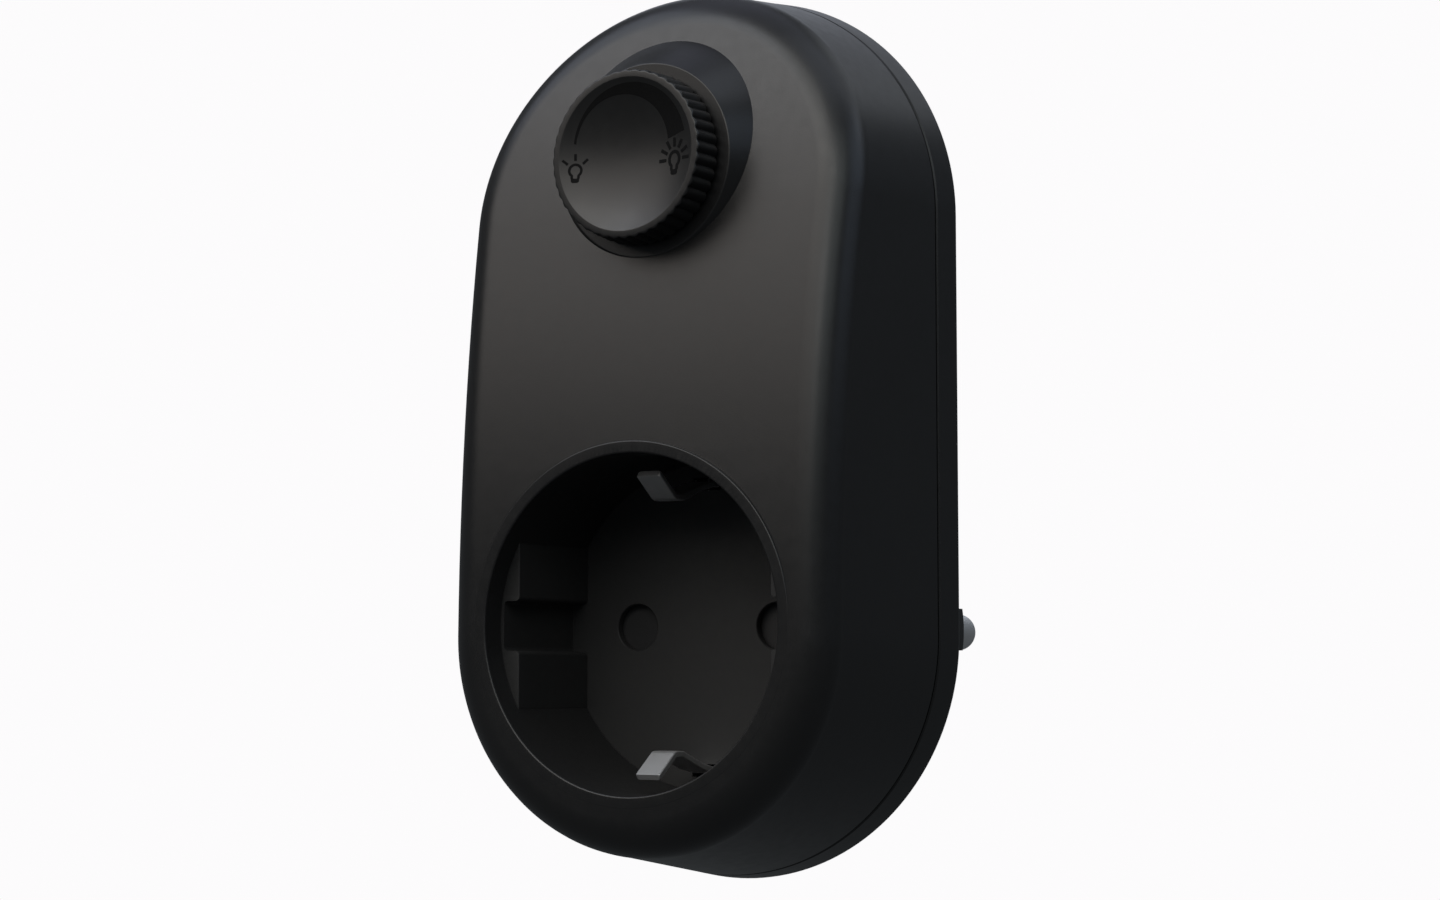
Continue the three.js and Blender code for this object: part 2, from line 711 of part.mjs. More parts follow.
function circuitBoard() {
  const [halfWidth, lowerRadius] = [21.4, recessRadius + wellWall + 1.2];
  const corner = Math.acos(halfWidth / lowerRadius);
  const outline = new THREE.Shape();
  outline.absarc(0, upperCentre, halfWidth, 0, straight, false);
  outline.absarc(0, 0, lowerRadius, straight - corner, corner, true);
  const holes = boardScrews.map(({ x, y }) => bar(screwRadius + gap, level(0), mountLevel, { x, y }));
  const notches = caseScrews.map(({ x, y }) => bar(postRadius + 2 * gap, level(0), mountLevel, { x, y }));
  return cut(plate(outline, boardBackLevel, boardFrontLevel, 12), [...holes, ...notches]);
}

addPiece("circuit_board", circuitBoard(), { colour: 0x2f5d3a, roughness: 0.55 });

const chokeCentre = { x: -8.5, y: 33.6 };
const chokeLevel = mountLevel + 3.4;

function chokeCore() {
  const [inner, outer, half] = [3.4, 6, 2.2];
  const profile = [
    [inner, chokeLevel - half],
    [outer, chokeLevel - half],
    [outer, chokeLevel + half],
    [inner, chokeLevel + half],
    [inner, chokeLevel - half],
  ];
  return turned(profile, { ...chokeCentre, sides: 24 });
}

// Copper loops round the ring, each a closed square band, joined by a thread on the ring's outside.
function chokeWinding() {
  const [inside, outside, half, thick] = [2.2, 6.3, 2.5, 0.7];
  const loops = [];
  const count = 8;
  for (let i = 0; i < count; i++) {
    const band = block([inside, outside + thick], [-thick / 2, thick / 2], [-half - thick, half + thick]);
    const hole = block([inside + thick, outside], [-thick, thick], [-half, half]);
    loops.push(band.subtract(hole).rotate([0, 0, (360 / count) * i]));
  }
  const thread = turned([
    [outside + 0.1, -0.3],
    [outside + thick, -0.3],
    [outside + thick, 0.3],
    [outside + 0.1, 0.3],
    [outside + 0.1, -0.3],
  ]);
  return joined([...loops, thread]).translate(chokeCentre.x, chokeCentre.y, chokeLevel);
}

addPiece("choke_core", chokeCore(), { colour: 0x6f6a3a, roughness: 0.7 });
addPiece("choke_winding", chokeWinding(), copper);

addPiece("film_capacitor", block([1.5, 14.5], [25.4, 31.4], [mountLevel, mountLevel + 9.4]), {
  colour: 0xb8a21e,
  roughness: 0.5,
});
const canProfile = [
  [0, mountLevel],
  [4, mountLevel],
  [4, mountLevel + 1.2],
  [3.7, mountLevel + 1.6],
  [4, mountLevel + 2],
  [4, mountLevel + 9.6],
  [3.6, mountLevel + 10],
  [0, mountLevel + 10],
];
addPiece("electrolytic_capacitor", turned(canProfile, { x: 9, y: 38.6, sides: 16 }), {
  colour: 0x2b3a66,
  roughness: 0.4,
});
addPiece("heat_sink", block([15.8, 17.3], [49, 62], [mountLevel, mountLevel + 8.5]), {
  colour: 0xa8abae,
  roughness: 0.4,
  metalness: 1,
});

function triac() {
  const body = block([11.2, 15.5], [50.5, 60.5], [mountLevel + 3, mountLevel + 9]);
  const legs = [53, 55.5, 58].map((y) => {
    return block([13, 13.6], [y - 0.4, y + 0.4], [mountLevel, mountLevel + 3.2]);
  });
  return joined([body, ...legs]);
}
addPiece("triac", triac(), { colour: 0x1a1a1a, roughness: 0.5 });

const varistorDisc = bar(4.3, -1.7, 1.7).rotate([0, 90, 0]).translate(-14, 53, mountLevel + 4.5);
addPiece("varistor", varistorDisc, { colour: 0x1f4f9c, roughness: 0.5 });
addPiece("fuse", bar(3.6, mountLevel, mountLevel + 6.5, { x: -12.4, y: 62 }), {
  colour: 0x3a1f16,
  roughness: 0.5,
});

function controlChip() {
  const body = block([-6.6, -1.6], [63.6, 67.4], [mountLevel + 0.2, mountLevel + 1.7]);
  const legs = [-6, -4.7, -3.5, -2.2].map((x) => {
    return block([x - 0.2, x + 0.2], [62.6, 68.4], [mountLevel, mountLevel + 0.5]);
  });
  return joined([body, ...legs]);
}
addPiece("control_chip", controlChip(), { colour: 0x161616, roughness: 0.55 });

// Two small resistors lying side by side, each with a lead bent down to the board at both ends.
[64, 67.4].forEach((y, i) => {
  const centre = 5.6;
  const body = bar(1.15, -3, 3, { sides: 12 }).rotate([0, 90, 0]).translate(centre, y, mountLevel + 1.3);
  const lead = bar(0.3, -4.4, 4.4, { sides: 8 }).rotate([0, 90, 0]).translate(centre, y, mountLevel + 1.3);
  const ends = [centre - 4.2, centre + 4.2].map((x) => {
    return bar(0.3, mountLevel, mountLevel + 1.4, { x, y, sides: 8 });
  });
  addPiece(`resistor_${i + 1}`, joined([body, lead, ...ends]), { colour: 0xc9b48a, roughness: 0.6 });
});

// ---- Wires from the pins and the live contact to the board --------------------------------------

// Every wire climbs through the carrier, passes behind the retainer, and ends under the board.
function innerWire(start, via, climbX, boardX) {
  const wireLevel = level(3.05);
  const points = [
    start,
    via,
    [climbX, 8.4, level(-2.5)],
    [(climbX + boardX) / 2, 10.6, level(2.2)],
    [boardX, 14.8, wireLevel],
    [boardX, 19, wireLevel],
    [boardX, 23.6, wireLevel],
    [boardX, 25.4, boardBackLevel - gap - wireRadius],
  ];
  const curve = new THREE.CatmullRomCurve3(points.map((point) => new THREE.Vector3(...point)));
  return wireAlong(curve, wireRadius, 24, 8);
}

addPiece("neutral_wire", innerWire([-6, 0.6, 7.6], [-4.2, 4, 13], -3.8, -7.2), {
  colour: 0x2a5fb0,
  roughness: 0.5,
});
addPiece("live_wire_in", innerWire([6, 0.6, 7.6], [-1.6, 4.5, 13], -1.6, -5.1), {
  colour: 0x6b3f22,
  roughness: 0.5,
});
addPiece("live_wire_out", innerWire([5.4, 1.6, 16.4], [1.8, 5.2, 18], 0.6, -3), {
  colour: 0x151515,
  roughness: 0.5,
});

// ---- The finished part, turned from the front view into its own frame ---------------------------

pieces.rotation.x = rightAngle;
const plugInDimmer = new THREE.Group();
plugInDimmer.name = "plug_in_dimmer";
plugInDimmer.add(pieces);

export default plugInDimmer;
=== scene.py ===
"""Looks of a plug-in rotary dimmer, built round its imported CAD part.

Shapes are drawn in millimetres as seen from the front: x to the right, y up, and a level that counts
forwards from the plug's end face. new_piece() turns a drawing into the part's own frame, in metres.
"""

import json
import math

import bmesh
import bpy
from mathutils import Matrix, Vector


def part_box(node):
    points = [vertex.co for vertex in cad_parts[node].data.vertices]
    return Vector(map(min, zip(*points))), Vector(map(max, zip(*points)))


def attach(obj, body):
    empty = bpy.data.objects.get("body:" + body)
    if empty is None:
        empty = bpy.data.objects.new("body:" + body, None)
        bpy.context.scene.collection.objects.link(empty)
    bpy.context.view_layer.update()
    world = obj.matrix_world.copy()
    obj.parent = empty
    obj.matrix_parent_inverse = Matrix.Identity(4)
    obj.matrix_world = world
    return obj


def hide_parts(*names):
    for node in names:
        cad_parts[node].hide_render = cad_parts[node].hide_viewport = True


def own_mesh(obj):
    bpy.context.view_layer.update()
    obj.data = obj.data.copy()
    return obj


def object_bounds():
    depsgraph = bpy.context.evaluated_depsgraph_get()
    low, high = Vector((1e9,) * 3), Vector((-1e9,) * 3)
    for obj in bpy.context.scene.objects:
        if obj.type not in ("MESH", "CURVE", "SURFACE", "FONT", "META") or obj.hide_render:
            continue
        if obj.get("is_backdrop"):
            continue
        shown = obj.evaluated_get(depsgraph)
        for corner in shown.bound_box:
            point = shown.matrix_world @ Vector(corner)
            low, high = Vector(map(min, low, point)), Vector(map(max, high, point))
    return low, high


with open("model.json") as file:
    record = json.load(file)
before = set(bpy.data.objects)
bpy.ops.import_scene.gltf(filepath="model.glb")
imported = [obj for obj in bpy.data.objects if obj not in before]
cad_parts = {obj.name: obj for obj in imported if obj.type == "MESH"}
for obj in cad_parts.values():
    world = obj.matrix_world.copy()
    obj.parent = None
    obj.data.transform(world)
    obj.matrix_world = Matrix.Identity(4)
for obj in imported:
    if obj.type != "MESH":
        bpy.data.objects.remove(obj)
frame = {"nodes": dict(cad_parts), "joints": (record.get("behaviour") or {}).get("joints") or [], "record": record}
cad_low, cad_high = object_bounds()

# ---- Sizes and places, read from the frame -------------------------------------------------------

MM = 0.001  # metres in a millimetre

mounts = {mount["name"]: mount["pos_m"] for mount in frame["record"]["mounts"]}
joints = {joint["name"]: joint for joint in frame["joints"]}


def node_box(node):
    """Lowest and highest (x, y, level) of a CAD node, in the drawing's millimetres."""
    low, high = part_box(node)
    return Vector((low.x, low.z, -high.y)) / MM, Vector((high.x, high.z, -low.y)) / MM


shell_low, shell_high = node_box("front_shell")
cover_low, cover_high = node_box("rear_cover")
knob_low, knob_high = node_box("knob")
pin_low, pin_high = node_box("live_pin")
strip_low, strip_high = node_box("earth_strip_upper")
spring_low, spring_high = node_box("shutter_spring")
shaft_low, shaft_high = node_box("pot_shaft")
retainer_low, retainer_high = node_box("shutter_retainer")
board_low, board_high = node_box("circuit_board")

GAP = 0.3  # clearance between pieces that touch
HALF_WIDTH = cover_high.x
LOWER_CENTRE = cover_low.y + HALF_WIDTH
UPPER_CENTRE = cover_high.y - HALF_WIDTH
FLOOR_LEVEL = -mounts["socket_floor"][1] / MM
FLOOR_DEPTH = 9  # recess floor in front of the back of the case
RIM_PROUD = 0.05  # ring round the mouth in front of the face's flat part
REAR_LEVEL = FLOOR_LEVEL - FLOOR_DEPTH
FACE_LEVEL = shell_high.z - RIM_PROUD  # flat part of the front face
CASE_DEPTH = FACE_LEVEL - REAR_LEVEL
KNOB_HEIGHT = joints["knob_turn"]["pos_m"][2] / MM
KNOB_RADIUS = knob_high.x
COLLAR_LEVEL = knob_low.z - GAP
PIN_X = (pin_low.x + pin_high.x) / 2
PIN_RADIUS = (pin_high.x - pin_low.x) / 3  # the flange is as wide as three of the pin's radii

# ---- Sizes of the details ------------------------------------------------------------------------

ARC_START = -3.6  # the front face is flat below this height, and falls back in an arc above it
FACE_RADIUS = 284
EDGE_RADIUS = 4.5  # round between front face and side wall
SIDE_DRAFT = 0.164  # lean of the side wall, per millimetre of depth
WALL = 1.8
PARTING_DEPTH = 4.5
REAR_EDGE_RADIUS = 0.7
SEAM_CHAMFER = 0.15

RECESS_RADIUS = 19.2
RIM_RADIUS = 20.6
RIM_RISE = 0.01  # the drawn ring is all but level with the face's flat part
RIM_ROUND = 0.16
MOUTH_ROUND = 0.22  # edge between the ring and the bore
FLAT_X = 16.6
FLAT_LEVEL = REAR_LEVEL + 23.75
FLAT_ROUND = 0.15
NOTCH_X = 18.7
NOTCH_Y = 2.9
NOTCH_ROUND = 0.5
PIN_HOLE_RADIUS = 2.75
PIN_HOLE_CHAMFER = 0.1
SLOT_INNER = 16.1
SLOT_OUTER = 17.6
FLOOR_THICKNESS = 1
WELL_WALL = 1.8

COLLAR_RADIUS = 11.25
COLLAR_LEAN = math.radians(34)
COLLAR_ROUND = 0.22

PLUG_RADIUS = 18.6
PLUG_FLAT_X = 17.2
PLUG_RIB = 2.6  # half the height of the rib left in the middle of each flat
PLUG_HOLLOW = 14.2
PLUG_FACE = 2.2
PLUG_ROUND = 1.0
GROOVE_BACK = 3  # the grooves in the plug's body for the earth strips
GROOVE_INNER = 16.2
GROOVE_OUTER = 18.5

CASE_SCREWS = [(-18, 44), (18, 44), (-18.4, -15.5), (18.4, -15.5)]
BOARD_SCREWS = [(-18.5, 27), (18.5, 27)]
POST_RADIUS = 3.4
BOARD_POST_RADIUS = 2.6
SHAFT_HOLE_RADIUS = 3.8
LIP_HEIGHT = 2  # of the cover's lip, in front of the parting line
LIP_THICKNESS = 1
POST_LEVEL = REAR_LEVEL + 4  # where the posts of cover and shell meet
SCREW_RADIUS = 1.3
SCREW_HEAD = 2.2
COUNTERBORE = 2.2

RIGHT_ANGLE = math.pi / 2

# ---- Meshes --------------------------------------------------------------------------------------


def to_frame(point):
    """A drawn (x, y, level) point in the part's frame, in metres."""
    x, y, level = point
    return Vector((x, -level, y)) * MM


def new_piece(name, points, faces):
    """A mesh object from drawn points, with its faces' outsides put right."""
    mesh = bpy.data.meshes.new(name)
    mesh.from_pydata([to_frame(point) for point in points], [], faces)
    shape = bmesh.new()
    shape.from_mesh(mesh)
    bmesh.ops.recalc_face_normals(shape, faces=shape.faces)
    shape.to_mesh(mesh)
    shape.free()
    piece = bpy.data.objects.new(name, mesh)
    bpy.context.scene.collection.objects.link(piece)
    return piece


def ladder(count, first):
    """Faces that close a mirrored ring with rungs straight across. The ring starts at its lowest point."""
    faces = []
    for i in range(count // 2):
        corners = [i, i + 1, count - i - 1, (count - i) % count]
        faces.append([first + corner for corner in dict.fromkeys(corners)])
    return faces


def loft(name, rings, ends="ladder"):
    """A solid through rings of equal length, its ends closed by a ladder, a fan or one plain face."""
    count = len(rings[0])
    points = [point for ring in rings for point in ring]
    faces = []
    for band in range(len(rings) - 1):
        here, there = band * count, (band + 1) * count
        for i in range(count):
            beside = (i + 1) % count
            faces.append([here + i, here + beside, there + beside, there + i])
    for ring, first in ((rings[0], 0), (rings[-1], (len(rings) - 1) * count)):
        if ends == "ladder":
            faces += ladder(count, first)
        elif ends == "plain":
            faces.append([first + i for i in range(count)])
        elif ends == "fan":
            points.append(sum((Vector(point) for point in ring), Vector((0, 0, 0))) / count)
            middle = len(points) - 1
            faces += [[first + i, first + (i + 1) % count, middle] for i in range(count)]
    return new_piece(name, points, faces)


def turned(name, profile, x=0, y=0, sides=96):
    """(radius, level) pairs turned about an axis that points forwards. They start and end on the axis."""
    points = []
    faces = []
    for radius, level in profile[1:-1]:
        for i in range(sides):
            angle = 2 * math.pi * i / sides
            points.append((x + radius * math.cos(angle), y + radius * math.sin(angle), level))
    for ring in range(len(profile) - 3):
        for i in range(sides):
            beside = (i + 1) % sides
            here, there = ring * sides, (ring + 1) * sides
            faces.append([here + i, here + beside, there + beside, there + i])
    for end, first in ((profile[0], 0), (profile[-1], (len(profile) - 3) * sides)):
        points.append((x, y, end[1]))
        middle = len(points) - 1
        faces += [[first + i, first + (i + 1) % sides, middle] for i in range(sides)]
    return new_piece(name, points, faces)


def block(name, xs, ys, levels):
    """A box, as a tool for cutting."""
    ring = [(xs[0], ys[0]), (xs[1], ys[0]), (xs[1], ys[1]), (xs[0], ys[1])]
    return loft(name, [[(x, y, level) for x, y in ring] for level in levels], ends="plain")


def drum(name, radius, levels, x=0, y=0, sides=64):
    """A round bar, as a tool for cutting or joining."""
    back, front = levels
    return turned(name, [(0, back), (radius, back), (radius, front), (0, front)], x, y, sides)


def arc(centre, radius, start, end, steps):
    """Points of an arc, ends included. Angles are in degrees and centre is a pair."""
    angles = [math.radians(start + (end - start) * i / steps) for i in range(steps + 1)]
    return [(centre[0] + radius * math.cos(a), centre[1] + radius * math.sin(a)) for a in angles]


def combined(target, tools, operation):
    """The target with the tools cut out of it ('DIFFERENCE') or added to it ('UNION')."""
    for tool in tools:
        modifier = target.modifiers.new("combine", "BOOLEAN")
        modifier.object = tool
        modifier.operation = operation
        modifier.solver = "MANIFOLD"
    bpy.context.view_layer.update()
    graph = bpy.context.evaluated_depsgraph_get()
    mesh = bpy.data.meshes.new_from_object(target.evaluated_get(graph))
    target.modifiers.clear()
    target.data = mesh
    for tool in tools:
        bpy.data.objects.remove(tool)
    return target


def cut(target, *tools):
    return combined(target, tools, "DIFFERENCE")


def joined(target, *tools):
    return combined(target, tools, "UNION")


def smooth(piece, angle=24):
    """Smooth shading with sharp edges where faces meet at more than this angle, weighted by face area."""
    mesh = piece.data
    mesh.polygons.foreach_set("use_smooth", [True] * len(mesh.polygons))
    mesh.set_sharp_from_angle(angle=math.radians(angle))
    weighted = piece.modifiers.new("even_shading", "WEIGHTED_NORMAL")
    weighted.keep_sharp = True
    return piece


# ---- The case's curved outside -------------------------------------------------------------------


def front_depth(y):
    """How far the front face stands in front of the back of the case, at a height."""
    climb = max(0, y - ARC_START)
    return CASE_DEPTH - FACE_RADIUS + math.sqrt(FACE_RADIUS**2 - climb**2)


def case_outline(arc_steps=44, side_steps=12):
    """The outline's right half from its lowest point up, with the outward direction at each point."""
    half = []
    for i in range(arc_steps + 1):
        angle = (i / arc_steps - 1) * RIGHT_ANGLE
        out = (math.cos(angle), math.sin(angle))
        half.append((HALF_WIDTH * out[0], LOWER_CENTRE + HALF_WIDTH * out[1], *out))
    for i in range(1, side_steps):
        y = LOWER_CENTRE + (UPPER_CENTRE - LOWER_CENTRE) * i / side_steps
        half.append((HALF_WIDTH, y, 1, 0))
    for i in range(arc_steps + 1):
        angle = i / arc_steps * RIGHT_ANGLE
        out = (math.cos(angle), math.sin(angle))
        half.append((HALF_WIDTH * out[0], UPPER_CENTRE + HALF_WIDTH * out[1], *out))
    return half


outline_half = case_outline()


def mirrored(half):
    """A whole ring from its right half, which is given from its lowest to its highest point."""
    half = [(0, *half[0][1:]), *half[1:-1], (0, *half[-1][1:])]
    return half + [(-x, y, level) for x, y, level in half[-2:0:-1]]


def flat_ring(depth, inwards):
    """The case's outline at one depth, moved inwards."""
    inset = inwards + SIDE_DRAFT * depth
    level = REAR_LEVEL + depth
    return mirrored([(x - inset * nx, y - inset * ny, level) for x, y, nx, ny in outline_half])


def edge_ring(turn, inwards):
    """A ring on the round front edge, from turn 0 on the side wall to a right angle on the face."""
    radius = EDGE_RADIUS - inwards
    half = []
    for x, y, nx, ny in outline_half:
        side_depth = front_depth(y) - EDGE_RADIUS
        inset = inwards + SIDE_DRAFT * side_depth + radius * (1 - math.cos(turn))
        height = y - inset * ny
        depth = front_depth(height) - EDGE_RADIUS + radius * math.sin(turn)
        half.append((x - inset * nx, height, REAR_LEVEL + depth))
    return mirrored(half)


def case_solid(name, back_rings, inwards, steps):
    """The inside or outside of the case, from the given back rings to the front face."""
    turns = [RIGHT_ANGLE * i / steps for i in range(steps + 1)]
    return loft(name, [*back_rings, *(edge_ring(turn, inwards) for turn in turns)])


# ---- Socket recess -------------------------------------------------------------------------------


def recess_outline():
    """The recess from the front, from 0 degrees round, with its guide flats and the notch in each."""
    corner = math.degrees(math.acos(FLAT_X / RECESS_RADIUS))
    r = NOTCH_ROUND
    quarter = [(NOTCH_X, NOTCH_Y * i / 3) for i in range(3)]
    quarter += arc((NOTCH_X - r, NOTCH_Y - r), r, 0, 90, 5)
    quarter += arc((FLAT_X + r, NOTCH_Y + r), r, 270, 180, 5)
    top_of_flat = RECESS_RADIUS * math.sin(math.radians(corner))
    quarter += [(FLAT_X, NOTCH_Y + r + (top_of_flat - NOTCH_Y - r) * i / 5) for i in range(1, 5)]
    quarter += arc((0, 0), RECESS_RADIUS, corner, 90, 34)
    upper = quarter + [(-x, y) for x, y in quarter[-2::-1]]
    return upper + [(x, -y) for x, y in upper[-2:0:-1]]


def mouth_ring():
    """The level ring round the socket's mouth. It stands out where the face falls back behind it."""
    top = FACE_LEVEL + RIM_RISE
    back = FACE_LEVEL - WALL
    edge = arc((RIM_RADIUS - RIM_ROUND, top - RIM_ROUND), RIM_ROUND, 0, 90, 5)
    return turned("mouth_ring", [(0, back), (RIM_RADIUS, back), *edge, (0, top)], sides=240)


def recess_tool():
    """The space of the socket recess, out through its rounded mouth to in front of the face."""
    plan = recess_outline()
    directions = [Vector(point).normalized() for point in plan]

    def circle(radius, level):
        return [(*(out * radius), level) for out in directions]

    def rounded_end(inset, level):
        """A ring on the rounded front end of the flats, where they stand back by an inset."""
        ring = []
        for (x, y), out in zip(plan, directions):
            wanted = (FLAT_X + inset) / abs(out.x) if abs(x) > FLAT_X - 0.001 else 0
            ring.append((*(out * min(RECESS_RADIUS, max(math.hypot(x, y), wanted))), level))
        return ring

    rings = [[(x, y, FLOOR_LEVEL) for x, y in plan]]
    for x, level in arc((FLAT_ROUND, FLAT_LEVEL - FLAT_ROUND), FLAT_ROUND, 180, 90, 3):
        rings.append(rounded_end(x, level))
    rings.append(circle(RECESS_RADIUS, FLAT_LEVEL))
    top = FACE_LEVEL + RIM_RISE
    for radius, level in arc((RECESS_RADIUS + MOUTH_ROUND, top - MOUTH_ROUND), MOUTH_ROUND, 180, 90, 6):
        rings.append(circle(radius, level))
    rings.append(circle(RECESS_RADIUS + MOUTH_ROUND, top + 1))
    return loft("recess", rings, ends="fan")


def pin_hole_tool(x):
    """A socket pin hole with its chamfered mouth."""
    back = FLOOR_LEVEL - FLOOR_THICKNESS - GAP
    chamfer = PIN_HOLE_CHAMFER
    profile = [
        (0, back),
        (PIN_HOLE_RADIUS, back),
        (PIN_HOLE_RADIUS, FLOOR_LEVEL - chamfer),
        (PIN_HOLE_RADIUS + chamfer, FLOOR_LEVEL),
        (PIN_HOLE_RADIUS + chamfer + 1, FLOOR_LEVEL + 1),
        (0, FLOOR_LEVEL + 1),
    ]
    return turned("pin_hole", profile, x)


def strip_slot(side, levels, inner, outer):
    """The slot that an earth strip needs where it passes through a wall."""
    half = strip_high.x + GAP
    return block("strip_slot", (-half, half), sorted((side * inner, side * outer)), levels)


# ---- Front shell ---------------------------------------------------------------------------------


def collar(name, inwards, edge_round):
    """The cone under the knob, with its flat top."""
    reach = 8  # far enough back to meet the face under the flank
    radius = COLLAR_RADIUS - inwards
    top = COLLAR_LEVEL - inwards
    lean = math.degrees(COLLAR_LEAN)
    profile = [(0, top - reach), (radius + reach * math.tan(COLLAR_LEAN), top - reach)]
    setback = edge_round * math.tan((RIGHT_ANGLE - COLLAR_LEAN) / 2)
    centre = (radius - setback, top - edge_round)
    profile += arc(centre, edge_round, lean, 90, 5)
    profile += [(radius / 2, top), (0, top)]
    return turned(name, profile, y=KNOB_HEIGHT, sides=180)


def front_shell():
    back_depth = PARTING_DEPTH + GAP / 2
    back_rings = [flat_ring(back_depth, SEAM_CHAMFER), flat_ring(back_depth + SEAM_CHAMFER, 0)]
    shell = case_solid("front_shell_skin", back_rings, 0, 12)
    joined(shell, collar("collar", 0, COLLAR_ROUND), mouth_ring())
    cavity = case_solid("cavity", [flat_ring(back_depth - 1, WALL)], WALL, 5)
    joined(cavity, collar("collar_inside", WALL, 0.4))
    well_back = retainer_low.z
    in_front = REAR_LEVEL + CASE_DEPTH + 1
    cut(cavity, drum("well", RECESS_RADIUS + WELL_WALL, (well_back, in_front), sides=96))
    for x, y in CASE_SCREWS:
        cut(cavity, drum("post", POST_RADIUS, (POST_LEVEL, in_front), x, y))
    for x, y in BOARD_SCREWS:
        cut(cavity, drum("post", BOARD_POST_RADIUS, (board_high.z + GAP, in_front), x, y))
    floor_back = FLOOR_LEVEL - FLOOR_THICKNESS
    cut(shell, cavity)
    cut(shell, recess_tool())
    cut(shell, drum("pocket", RECESS_RADIUS, (well_back - GAP, floor_back), sides=96))
    cut(shell, pin_hole_tool(-PIN_X), pin_hole_tool(PIN_X))
    slot_levels = (floor_back - GAP, FLOOR_LEVEL + GAP)
    cut(shell, *(strip_slot(side, slot_levels, SLOT_INNER, SLOT_OUTER) for side in (-1, 1)))
    cut(shell, drum("shaft_hole", SHAFT_HOLE_RADIUS, (COLLAR_LEVEL - 10, COLLAR_LEVEL + 1), y=KNOB_HEIGHT))
    for x, y in CASE_SCREWS:
        cut(shell, drum("pilot", SCREW_RADIUS + GAP, (POST_LEVEL - 1, REAR_LEVEL + 15), x, y, 32))
    for x, y in BOARD_SCREWS:
        cut(shell, drum("pilot", SCREW_RADIUS + GAP, (board_high.z, board_high.z + 7), x, y, 32))
    return smooth(shell)


# ---- Rear cover with the plug --------------------------------------------------------------------


def plug_body():
    """The plug's round body with a rounded end, flattened left and right but for a rib in the middle."""
    front = REAR_LEVEL + WALL / 2
    profile = [(0, 0)]
    profile += [
        (radius, level)
        for radius, level in arc((PLUG_RADIUS - PLUG_ROUND, PLUG_ROUND), PLUG_ROUND, 270, 360, 8)
    ]
    profile += [(PLUG_RADIUS, front), (0, front)]
    body = turned("plug_body", profile, sides=160)
    for side in (-1, 1):
        xs = sorted((side * PLUG_FLAT_X, side * (PLUG_RADIUS + 1)))
        for ys in ((PLUG_RIB, PLUG_RADIUS + 1), (-PLUG_RADIUS - 1, -PLUG_RIB)):
            cut(body, block("plug_flat", xs, ys, (-1, REAR_LEVEL)))
    return body


def rear_cover():
    front_depth_of_cover = PARTING_DEPTH - GAP / 2
    rounding = []
    for i in range(6):
        turn = i / 5 * RIGHT_ANGLE
        inwards = REAR_EDGE_RADIUS * (1 - math.sin(turn))
        rounding.append(flat_ring(REAR_EDGE_RADIUS * (1 - math.cos(turn)), inwards))
    seam = [
        flat_ring(front_depth_of_cover - SEAM_CHAMFER, 0),
        flat_ring(front_depth_of_cover, SEAM_CHAMFER),
    ]
    cover = loft("rear_cover_skin", rounding + seam)
    cut(cover, loft("tray", [flat_ring(WALL, WALL), flat_ring(front_depth_of_cover + 1, WALL)]))
    lip_top = PARTING_DEPTH + LIP_HEIGHT
    outside = WALL + GAP
    inside = outside + LIP_THICKNESS
    lip = loft("lip", [flat_ring(1, outside), flat_ring(lip_top, outside)])
    cut(lip, loft("lip_inside", [flat_ring(0, inside), flat_ring(lip_top + 1, inside)]))
    post_front = POST_LEVEL - GAP / 2
    for x, y in CASE_SCREWS:
        cut(lip, drum("post_room", POST_RADIUS + GAP, (post_front, REAR_LEVEL + lip_top + 1), x, y))
    joined(cover, lip)
    for x, y in CASE_SCREWS:
        joined(cover, drum("post", POST_RADIUS, (REAR_LEVEL + 1, post_front), x, y))
    joined(cover, plug_body())
    cut(cover, drum("hollow", PLUG_HOLLOW, (PLUG_FACE, REAR_LEVEL + WALL + 1), sides=96))
    for x in (-PIN_X, PIN_X):
        cut(cover, drum("pin_hole", PIN_RADIUS + GAP, (-1, PLUG_FACE + 1), x))
    for side in (-1, 1):
        closed_part = (GROOVE_BACK, REAR_LEVEL + WALL + 1)
        cut(cover, strip_slot(side, closed_part, GROOVE_INNER, GROOVE_OUTER))
        cut(cover, strip_slot(side, (GROOVE_BACK, REAR_LEVEL), GROOVE_INNER, PLUG_RADIUS + 1))
    for x, y in CASE_SCREWS:
        profile = [
            (0, REAR_LEVEL - 1),
            (SCREW_HEAD + GAP + 1.3, REAR_LEVEL - 1),
            (SCREW_HEAD + GAP, REAR_LEVEL + 0.3),
            (SCREW_HEAD + GAP, REAR_LEVEL + COUNTERBORE),
            (0, REAR_LEVEL + COUNTERBORE),
        ]
        cut(cover, turned("counterbore", profile, x, y, 64))
        cut(cover, drum("shank_hole", SCREW_RADIUS + GAP, (REAR_LEVEL, post_front + 1), x, y, 48))
    return smooth(cover)


# ---- Knob and the marks on its face --------------------------------------------------------------

SHAFT_RADIUS = 3
RIBS = 44
RIB_HEIGHT = 0.33
KNOB_FRONT_RADIUS = 9.75  # the side narrows towards the front
KNOB_EDGE = 0.3  # round between the ribbed side and the flat ring
DISH_RADIUS = 8.85  # inside the flat ring
DISH_DEPTH = 1.6
DISH_FILLET = 0.25


def dish_level(radius):
    """The level of the knob's hollowed face."""
    return knob_high.z - DISH_DEPTH * max(0, 1 - (radius / DISH_RADIUS) ** 2)


